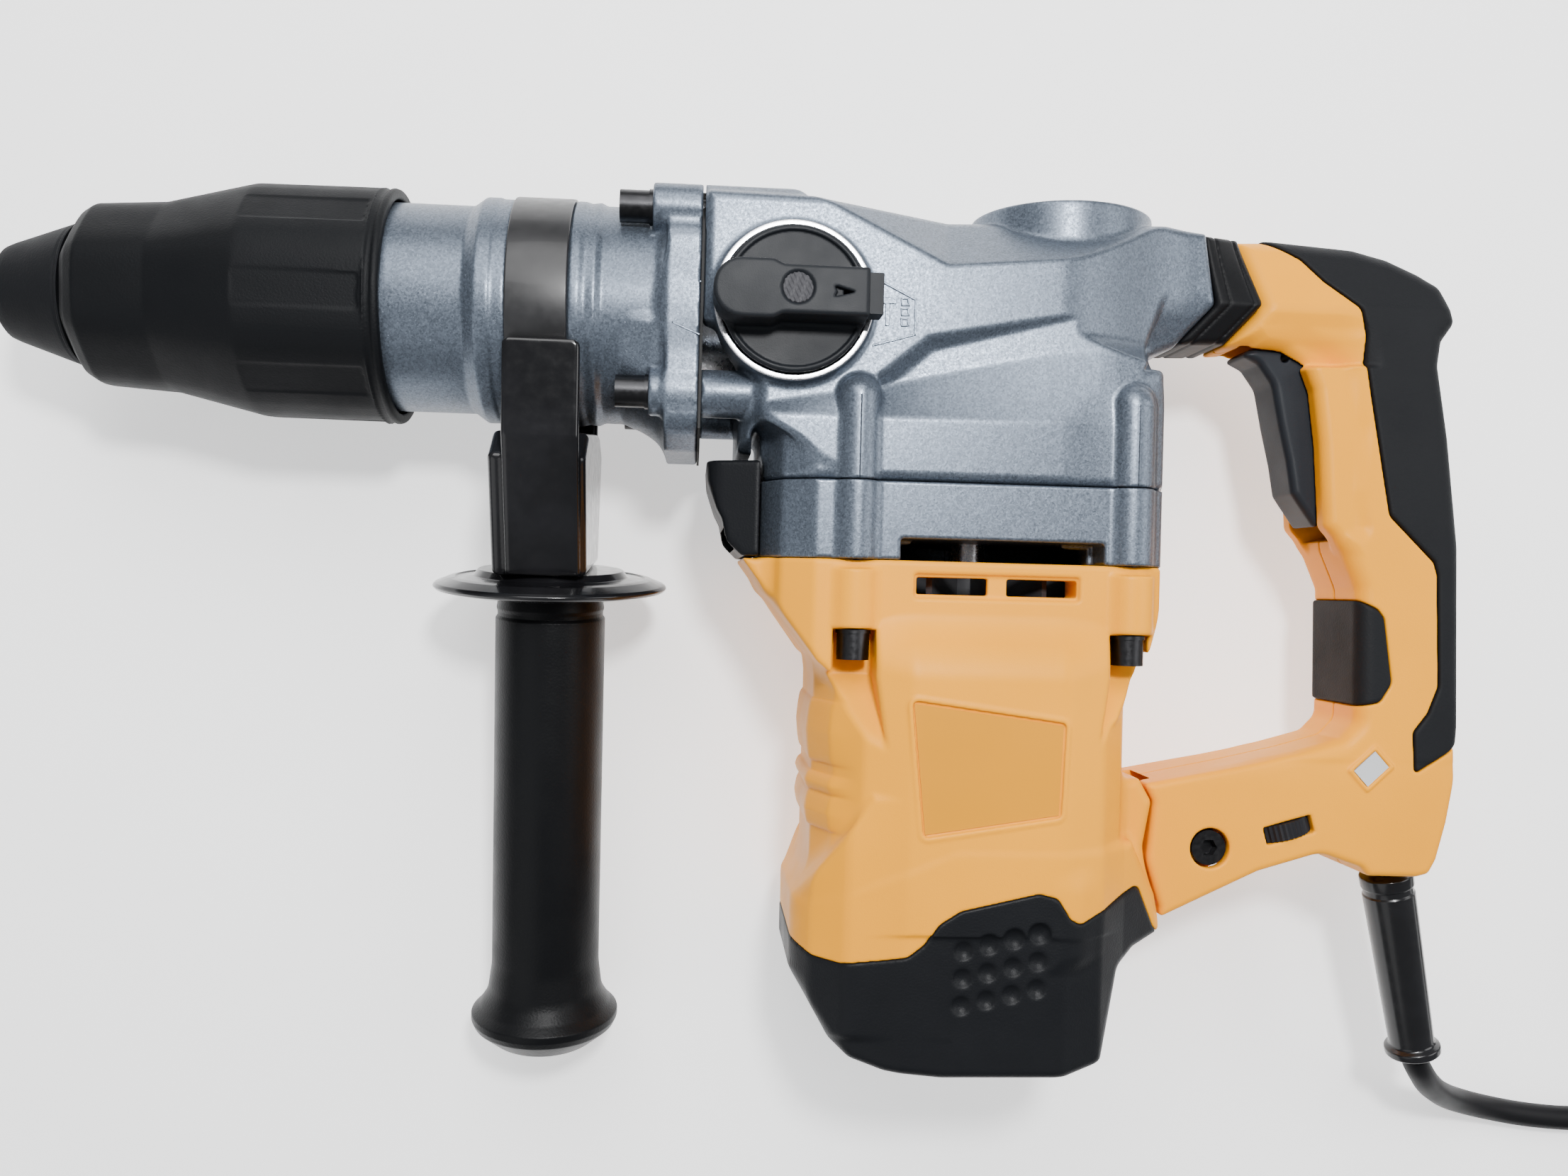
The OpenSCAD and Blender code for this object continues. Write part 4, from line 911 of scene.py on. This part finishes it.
SHELL = fillet([(398.9, 33.2), (412.2, 33.8, 6), (440, 31.8, 12), (451.1, 28.6, 6), (460.8, 23.4, 6), (466.3, 18.6, 5),
                (470, 6, 3), (465.7, -0.3, 3), (464.7, -8.5, 8), (468.8, -32.8, 30), (473.1, -68.6, 30),
                (474.6, -128.7, 20), (473.4, -146, 20), (471, -160, 8), (467.8, -172.5, 5), (465.2, -177.4, 3),
                (461, -178.4, 2), (444.5, -178.2, 2), (442, -175.4, 2), (428, -170.8, 10), (407, -177.1, 10),
                (389.7, -185.3, 6), (374.3, -192.6, 1), (374.2, -189, 2), (369.4, -174, 12), (371.2, -154.8, 4),
                (368.1, -148.9, 1), (399.1, -142.5, 6), (419.5, -137.7, 8), (434.9, -133.2, 5), (440, -127.6, 5),
                (439.2, -83.5, 6), (433.6, -70.5, 5), (433, -65.3, 2), (439, -63.5, 1), (435.8, -50.9, 6),
                (437.6, -31.3, 12), (434, -14.3, 8), (428.3, -5.5, 5), (419.2, -2, 5), (405, -3, 3), (393, -4.4, 1),
                (403.6, 8.8, 2)], 5)
BACK_LINE = fillet([(408, 34), (411.6, 31.6), (419.8, 26.5, 4), (426.1, 18.6, 6), (437, 9, 5), (439.2, 0.7, 5),
                    (439.2, -8.9, 8), (448.5, -58.9, 4), (464, -73.9, 3), (465.3, -78, 3), (466.6, -115.2, 6),
                    (463.2, -124.1, 4), (458.4, -130.4, 3), (459.2, -144.2, 1), (476, -133.5)], 5)
PAD_OUTER = [(490, -133.5), (490, 44), (408, 44)]
FRONT_PAD = fillet([(420, -81.2), (430.2, -84.4), (438.5, -86.6, 3), (445.3, -90.1, 3), (447.5, -92.9, 3),
                    (450.6, -114.5, 4), (446.8, -120.7, 3), (433.6, -123.7, 3), (418, -126)], 5)


CHEEK = fillet([(440, -9), (440, 2), (404, 2), (404, -3.4), (413, -5, 4), (419.5, -9.5, 4), (423, -18, 6),
                (425.5, -36, 20), (427.5, -63, 4), (433, -69, 3), (440, -72)], 5)


def handle_height(grid):
    """Half width of the rear handle at each (x, y)."""
    x, y = grid.x[:, :, 0], grid.y[:, :, 0]
    height = np.full(np.broadcast(x, y).shape, 18.2, np.float32)
    neck = 1 - ramp(x, 428, 448)
    height = np.minimum(height, 18.8 - (1 - ramp(x, 460, 480)) * np.clip(0.5 * (y - 8.5), 0, None))
    height = np.minimum(height, 18.8 - neck * np.clip(0.42 * (8.5 - y), 0, 9) * (y > -10))
    boss = np.hypot(x - 458, (y + 166) * 0.7)
    height = height - 0.9 * ramp(boss, 12, 34) * (y < -140)
    return blurred(height, grid, 1.2)


def make_handle_shells():
    for side in (1, -1):
        low, high = (-1.5, 21) if side > 0 else (-21, 1.5)
        grid = Grid((366, -196, low), (478, 34, high))
        shell = outline(grid, SHELL)
        height = handle_height(grid)
        body = meet(shell, relief(grid, height), 5.5)
        cheek = meet(meet(outline(grid, CHEEK), relief(grid, height - 0.6), 4), 9.7 - np.abs(grid.z), 0.6)
        body = join(body, cheek, 3)
        lower_arm = meet(shell, np.abs(grid.z) - 18.4, 2.2)
        body = body + (lower_arm - body) * ramp(-grid.y, 128, 150)
        pads = join(outline(grid, BACK_LINE + PAD_OUTER), outline(grid, FRONT_PAD))
        body = join(meet(body, HAIR - pads, 0.6), body + 2.7)
        guard = rod(grid, "y", -182, -176, (460.2, 0), 6.5, 0)
        body = cut(body, guard)
        room = meet(shell + 5.6, relief(grid, height - 2.8), 1)
        room = cut(room, block(grid, (451, -174, -20), (465, -160, 20)))
        body = cut(body, room)
        slot = outline(grid, [(399, 1), (432, 1), (447, -18), (447, -64), (422, -70), (403, -30)])
        body = cut(body, meet(slot, np.abs(grid.z) - 9.5), 0.4)
        tab = outline(grid, [(362, -147.4), (402, -150), (402, -188), (362, -196)])
        body = cut(body, meet(tab, np.abs(grid.z) - 9.8))
        body = cut(body, rod(grid, "z", -17, 17, PIVOT, 4.1, 0))
        body = cut(body, rod(grid, "z", 12.6 if side > 0 else -30, 30 if side > 0 else -12.6, PIVOT, 6.6, 0), 0.5)
        if side > 0:
            ca, sa = math.cos(DIAL_TILT), math.sin(DIAL_TILT)
            u = (grid.x - DIAL[0]) * ca + (grid.y - DIAL[1]) * sa
            v = (grid.y - DIAL[1]) * ca - (grid.x - DIAL[0]) * sa
            body = cut(body, meet(meet(np.abs(u) - 8.3, np.abs(v) - 3, 0.5), 8 - grid.z), 0.6)
            ca, sa = math.cos(LENS_TILT), math.sin(LENS_TILT)
            u = (grid.x - LENS[0]) * ca + (grid.y - LENS[1]) * sa
            v = (grid.y - LENS[1]) * ca - (grid.x - LENS[0]) * sa
            frame_edge = meet(np.abs(u) - 6.4, np.abs(v) - 5.1, 0.8)
            body = join(body, meet(frame_edge, span(grid.z, 15, 19), 0.4), 0)
            body = cut(body, meet(meet(np.abs(u) - 4.9, np.abs(v) - 3.6), 10 - grid.z), 0.2)
        body = meet(body, HAIR / 2 - side * grid.z)
        name = "right" if side > 0 else "left"
        sculpt(f"handle_{name}", f"handle_shell_{name}", grid, body)


def make_grip_pads():
    grid = Grid((404, -148, -22), (479, 35, 22))
    shell = outline(grid, SHELL) - 0.5
    body = meet(shell, relief(grid, handle_height(grid) + 0.5), 5.5)
    pad = outline(grid, BACK_LINE + PAD_OUTER)
    body = meet(body, pad + HAIR, 1.0)
    body = cut(body, body * 0 + (meet(shell, relief(grid, handle_height(grid)), 5.5) + 2.9))
    sculpt("back_pad", "rear_grip_pad", grid, body)

    grid = Grid((428, -129, -22), (456, -78, 22))
    shell = outline(grid, SHELL) - 0.5
    solid = meet(shell, relief(grid, handle_height(grid) + 0.5), 5.5)
    body = meet(solid, outline(grid, FRONT_PAD) + HAIR, 1.0)
    body = cut(body, solid + 2.9)
    sculpt("palm_pad", "front_grip_pad", grid, body)


# ---------------------------------------------------------------- chuck and side handle

def make_dust_cap():
    profile = fillet([(12.1, 0), (13.4, 0, 0.5), (14.8, 1.2, 0.8), (15.8, 3.5, 1), (22.2, 21.6, 1), (22.2, 22.6, 0.3),
                      (22.8, 23, 0.3), (22.8, 23.7), (16.6, 23.7), (16.6, 6), (14.1, 2.9), (12.1, 2.9)])
    lathe("nose_cap", "dust_cap", profile, axis_frame("x"))


def make_locking_sleeve():
    grid = Grid((23, -39, -39), (124, 39, 39))
    body = turned(grid, fillet([
        (24, 17.2), (24, 22.9, 0.8), (27, 27, 2), (30.5, 29.2, 3), (52, 30.6, 10), (80, 37.4, 14), (112, 37.7),
        (118.6, 37.7, 0.3), (119.2, 37, 0.3), (120.6, 37, 0.3), (121.2, 37.7, 0.5), (123, 37.2, 0.8), (123, 34.2),
        (89, 34.2), (89, 24), (72, 24), (72, 16.6), (64, 16.6), (64, 20), (28, 20), (28, 17.2)]))
    radius = np.interp(grid.x, [24, 27, 30.5, 52, 80, 118], [22.9, 27, 29.2, 30.6, 37.4, 37.7])
    for k in range(8):
        angle = math.radians(45 * k - 4)
        reach = grid.z * math.cos(angle) + grid.y * math.sin(angle)
        across = grid.y * math.cos(angle) - grid.z * math.sin(angle)
        flat = np.where(grid.x < 118.4, reach - radius + 0.75, -5)
        body = meet(body, flat, 1.2)
        panel = meet(meet(np.abs(across) - 5.4, np.abs(grid.x - 98.5) - 18.5, 0.6), 36.35 - reach)
        body = cut(body, panel, 0.3)
    sculpt("sleeve", "locking_sleeve", grid, body)


TILT = Matrix.Rotation(math.radians(6), 4, "X")
CLAMP_X = 171.8


def make_side_handle():
    band = fillet([(35.25, 160.2), (36.8, 160.2, 0.5), (36.8, 179, 0.5), (35.25, 179)])
    lathe("clamp_strap", "clamp_band", band, axis_frame("x", turn=TILT))

    grid = Grid((154, -86, -42), (187, -9, 42))
    body = 1e3 + 0 * grid.x
    for side in (1, -1):
        arm = outline(grid, [(-10.5, side * 37.2), (-10.5, side * 40.4), (-40, side * 40.4), (-84, side * 27.5),
                             (-84, side * 24), (-39, side * 37.2)], "yz")
        front = outline(grid, fillet([(160.2, -84), (160.2, -10.5, 2.5), (183.6, -10.5, 2.5), (183.6, -84)]))
        body = join(body, meet(arm, front, 1.2), 0)
    yoke = outline(grid, fillet([(-84, 25), (-46, 36, 2), (-38.6, 24), (-38.6, -24), (-46, -36, 2), (-84, -25)]), "yz")
    body = join(body, meet(yoke, span(grid.x, 155.5, 185.5), 2.2), 0.8)
    body = cut(body, rod(grid, "x", 150, 190, (0, 0), 37.1, 0), 0.5)
    body = cut(body, rod(grid, "y", -86, -40, (CLAMP_X, 0), 4.1, 0))
    body = cut(body, rod(grid, "y", -62, -40, (CLAMP_X, 0), 12, 0))
    sculpt("clamp_bracket", "handle_bracket", grid, meet(body, -84 - grid.y), turn=TILT)

    to_world = axis_frame("y", CLAMP_X, 0, TILT)
    guard = fillet([(4.1, -84.1), (24, -84.1, 0.6), (25.6, -86.3, 1), (31, -86.9, 0.3), (31.4, -86.5, 0.3),
                    (33.6, -86.9, 0.4), (37.8, -88.6, 0.8), (38.8, -89.6, 0.6), (37.8, -90.8, 0.8), (30, -92.2, 2),
                    (22, -92.6), (4.1, -92.6)])
    lathe("grip_guard", "hand_guard", guard, to_world, 128)
    grip = fillet([(4.15, -92.9), (17.2, -92.9, 1.2), (17.9, -97, 1), (17.5, -98.2, 0.4), (17.5, -99.4, 0.4),
                   (18.2, -100.4, 0.6), (18.2, -220, 30), (19.5, -230, 10), (22.4, -234.6, 5), (25, -237.2, 1),
                   (25, -239.4, 1), (24, -241.6, 2), (17, -247.5, 8), (6, -251, 6), (0, -251), (0, -225), (4.15, -225)],
                   10)
    lathe("grip", "side_grip", grip, to_world)


# ---------------------------------------------------------------- mode knob and its marks

def make_mode_knob():
    grid = Grid((222, -27, 33), (271, 24, 60), CELL * 0.8)
    x0, y0 = KNOB
    body = rod(grid, "z", 40.1, 46.5, KNOB, 22, 0.8)
    dish = cut(rod(grid, "z", 45.6, 48, KNOB, 20.3, 0.3), rod(grid, "z", 44, 48, KNOB, 6, 0))
    body = cut(body, dish, 0.2)
    body = join(body, rod(grid, "z", 34, 41, KNOB, 5, 0.4))
    side = fillet([(x0 - 24.5, y0 - 8.7, 8.4), (x0 - 7, y0 - 8.7, 4), (x0 - 4, y0 - 7.2, 4), (x0 + 21, y0 - 7.2, 0.8),
                   (x0 + 21, y0 + 7.2, 0.8), (x0 - 4, y0 + 7.2, 4), (x0 - 7, y0 + 8.7, 4), (x0 - 24.5, y0 + 8.7, 8.4)])
    bar = meet(outline(grid, side), span(grid.z, 44, 59), 1.1)
    body = join(body, bar, 1.2)
    body = cut(body, rod(grid, "z", 58.3, 61, (x0, y0 + 0.4), 4.7, 0.2), 0.3)
    arrow = outline(grid, [(x0 + 10.6, y0 + 1.3), (x0 + 11.4, y0 - 0.3), (x0 + 10.6, y0 - 1.9), (x0 + 16.4, y0 - 0.3)])
    body = cut(body, meet(arrow, 57.4 - grid.z), 0.2)
    body = cut(body, block(grid, (x0 + 13.4, y0 - 6.4, 47.8), (x0 + 22.5, y0 + 6.4, 57.2), 0.1))
    sculpt("mode_dial", "mode_knob", grid, body)

    face = Grid((x0 - 5, y0 - 4.6, 57), (x0 + 5, y0 + 5.4, 60), CELL * 0.3)
    lumps = 0.14 * np.sin(3.1 * face.x) * np.sin(2.7 * face.y + 1) + 0.1 * np.sin(5.3 * face.x + 2 * face.y)
    cap = rod(face, "z", 57.6, 58.75, (x0, y0 + 0.4), 4.45, 0.4) + lumps
    sculpt("axle_plug", "mode_knob", face, cap, replaces=[], slot="dark_cap")
    ring = fillet([(22.35, 43), (24.2, 43, 0.2), (24.2, 44.05, 0.4), (22.35, 44.05, 0.4)])
    lathe("knob_ring", "gear_housing", ring, axis_frame("z", *KNOB), 128, [], "steel")


def band(points, width, closed=True):
    """Two-sided strokes of that width along a line of (x, y) points, one outline for each stroke."""
    strokes = []
    ends = list(zip(points, points[1:] + points[:1])) if closed else list(zip(points, points[1:]))
    for (ax, ay), (bx, by) in ends:
        n = math.hypot(bx - ax, by - ay)
        ux, uy = (bx - ax) / n * width / 2, (by - ay) / n * width / 2
        strokes.append([(ax - ux + uy, ay - uy - ux), (bx + ux + uy, by + uy - ux), (bx + ux - uy, by + uy + ux),
                        (ax - ux - uy, ay - uy + ux)])
    return strokes


def hammer(x, y, size):
    """A small upright hammer with the middle of its head at (x, y)."""
    return [[(x - 2 * size, y - 0.9 * size), (x + 2.6 * size, y - 0.9 * size), (x + 2.6 * size, y + 0.2 * size),
             (x + 1.4 * size, y + 0.9 * size), (x - 2 * size, y + 0.9 * size)],
            [(x - 0.65 * size, y - 7.6 * size), (x + 0.65 * size, y - 7.6 * size), (x + 0.65 * size, y - 0.8 * size),
             (x - 0.65 * size, y - 0.8 * size)]]


def make_marks():
    frame_line = [(272.2, 5.6), (274.4, 6.2), (285, 1), (285, -9.6), (272.2, -13.4)]
    shapes = band(frame_line, 0.6, closed=False) + hammer(276.4, 0.4, 1.0)
    for row in range(3):
        y = 0.2 - 3.1 * row
        shapes += band([(280.6, y + 1), (282.6, y + 1.1), (283, y - 0.9), (280.8, y - 1)], 0.5)
    plate("mark_drill", "gear_housing", shapes, 38.4, 39.45)
    frame_line = [(219.2, 4.4), (213.2, 2.2), (211.2, -8.4), (219.2, -11.6)]
    plate("mark_hammer", "barrel_housing", band(frame_line, 0.6, closed=False) + hammer(215.2, -0.6, 0.85), 35.9, 37.2)


# ---------------------------------------------------------------- bellows and trigger

def make_bellows():
    grid = Grid((374, -7, -22), (405, 33, 22))
    front = [(383.7, 31.1), (387.3, 8.2), (376.4, -4.4)]
    rear = [(398.4, 32.6), (403, 8.8), (392.4, -3.8)]
    side = outline(grid, fillet([(*front[0], 0.8), (*rear[0], 0.8), (*rear[1], 3), (*rear[2], 0.8), (*front[2], 0.8),
                                 (*front[1], 3)]))
    x, y = grid.x[:, :, 0], grid.y[:, :, 0]
    above_waist = 0.12 + 0.38 * np.clip((x - 384) / 15, 0, 1)
    height = blurred(20.4 - np.where(y > 8.5, above_waist * (y - 8.5), 0.48 * (8.5 - y)), grid, 1)
    skin = meet(side, relief(grid, height), 2)
    body = skin
    for part in (0.28, 0.8):
        fold = [tuple(np.array(a) * (1 - part) + np.array(b) * part) for a, b in zip(front, rear)]
        body = cut(body, meet(curve_distance(grid, fold) - 0.3, -0.6 - skin, 0.4), 0.5)
    room = meet(outline(grid, [(381, 27), (401, 27), (405, 8.8), (396, -0.5), (375, -1.5), (384, 8)]),
                relief(grid, height - 4.4))
    bends = ("housing", "rear_handle", (0.386, 0.0085, 0), (0.4, 0.0085, 0))
    sculpt("neck_bellows", "handle_bellows", grid, cut(body, room), bends=bends)


def make_trigger():
    grid = Grid((400, -68, -10), (436, -2, 10), CELL * 0.8)
    side = outline(grid, fillet([(401.1, -5.9, 1), (405, -3.3, 3), (415, -3.3, 4), (424, -8, 5), (428, -17, 6),
                                 (431, -33, 20), (430, -52, 20), (429, -62.8, 1), (427.3, -62.6, 1), (421.8, -55.1, 3),
                                 (419.6, -51.9, 3), (417.7, -41.3, 10), (414.7, -29, 12), (411.9, -15.5, 8),
                                 (407, -8.8, 4)]))
    body = meet(side, np.abs(grid.z) - 9, 2.6)
    well = outline(grid, [(415, -11), (422.5, -11), (428, -34), (434, -34), (434, -66), (425.5, -56), (420.5, -40)])
    body = cut(body, meet(well, np.abs(grid.z) - 7))
    body = cut(body, block(grid, (421, -34.5, -5), (435, -25.5, 5), 0))
    sculpt("squeeze_trigger", "trigger", grid, cut(body, rod(grid, "z", -10, 10, (415.5, -6.5), 1.5, 0)))


def spring(name, node, y, radius, wire, turns):
    """A coil spring along X, about the line at that y, over the length of its node's box."""
    start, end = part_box(node)
    low, high = start[0] / MM, end[0] / MM
    steps = WIRE_STEPS * turns
    bm = bmesh.new()
    rings = []
    for k in range(steps + 1):
        angle = 2 * math.pi * k / WIRE_STEPS
        out = Vector((0, math.cos(angle), math.sin(angle)))
        x = low + wire + (high - low - 2 * wire) * k / steps
        middle = Vector((x, y, 0)) + out * radius
        rings.append([bm.verts.new((middle + wire * (out * math.cos(a) + Vector((1, 0, 0)) * math.sin(a))) * MM)
                      for a in (2 * math.pi * i / WIRE_SIDES for i in range(WIRE_SIDES))])
    for here, there in zip(rings, rings[1:]):
        for i in range(WIRE_SIDES):
            j = (i + 1) % WIRE_SIDES
            bm.faces.new((here[i], here[j], there[j], there[i]))
    bm.faces.new(rings[0])
    bm.faces.new(rings[-1])
    mesh = mesh_of(name, bm)
    smooth(mesh)
    piece = add_piece(name, mesh, node)
    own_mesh(piece)


def make_springs():
    spring("sleeve_coil", "sleeve_spring", 0, 19.2, 1.05, 5)
    spring("trigger_coil", "trigger_spring", -30, 3, 0.45, 4)


def soften_small_parts():
    """Fine bevels on the CAD parts that are shown as they are."""
    widths = {"front_screws": 0.4, "motor_screws": 0.4, "front_washers": 0.2, "grease_cap": 0.5,
              "knob_lock_button": 0.7, "speed_dial": 0.2, "indicator_lens": 0.5, "pivot_bolt": 0.4, "cord_tie": 0.8,
              "label_plate": 0.2, "end_cap_screws": 0.3, "clamp_bolt": 0.4, "switch_unit": 0.3}
    for node, width in widths.items():
        soften(frame["nodes"][node], width)


make_locking_sleeve()
make_dust_cap()
make_side_handle()
make_mode_knob()
make_marks()
make_bellows()
make_trigger()
make_springs()
soften_small_parts()
make_barrel()
make_gear_housing()
make_gear_base()
make_front_guard()
make_motor_housing()
make_end_cap()
make_handle_shells()
make_grip_pads()


# ---------------------------------------------------------------- floor and light

def make_stage():
    mesh = bpy.data.meshes.new("floor")
    half = FLOOR_HALF
    z = -REST_Z * MM - FLOOR_GAP
    mesh.from_pydata([(-half, -half, z), (half, -half, z), (half, half, z), (-half, half, z)], [], [(0, 1, 2, 3)])
    floor = bpy.data.objects.new("floor", mesh)
    bpy.context.scene.collection.objects.link(floor)
    backdrop = moulded("backdrop", (0.9, 0.9, 0.9), 0.8, spread=0.01)
    backdrop.shader.inputs["Emission Color"].default_value = (1, 1, 1, 1)
    backdrop.shader.inputs["Emission Strength"].default_value = 0.9
    mesh.materials.append(backdrop.mat)


def add_light(name, place, aim, size, power):
    data = bpy.data.lights.new(name, "AREA")
    data.shape, data.size, data.energy = "DISK", size, power
    lamp = bpy.data.objects.new(name, data)
    turn = (Vector(place) - Vector(aim)).to_track_quat("Z", "Y").to_matrix().to_4x4()
    lamp.matrix_world = Matrix.Translation(place) @ turn
    bpy.context.scene.collection.objects.link(lamp)


def make_lights():
    aim = (0.3, -0.1, 0)
    add_light("flash", (0.31, 0.16, 0.72), aim, 0.1, 7.0)
    add_light("ceiling", (0.1, 0.9, 1.1), aim, 1.2, 18.5)
    add_light("window", (1.3, 0.1, 0.7), aim, 0.9, 7.0)
    add_light("fill", (-0.6, -0.7, 0.9), aim, 1.2, 3.5)
    world = bpy.data.worlds.new("world")
    bpy.context.scene.world = world
    world.use_nodes = True
    world.node_tree.nodes["Background"].inputs["Color"].default_value = (0.85, 0.88, 0.92, 1)
    world.node_tree.nodes["Background"].inputs["Strength"].default_value = 0.3


make_stage()
make_lights()
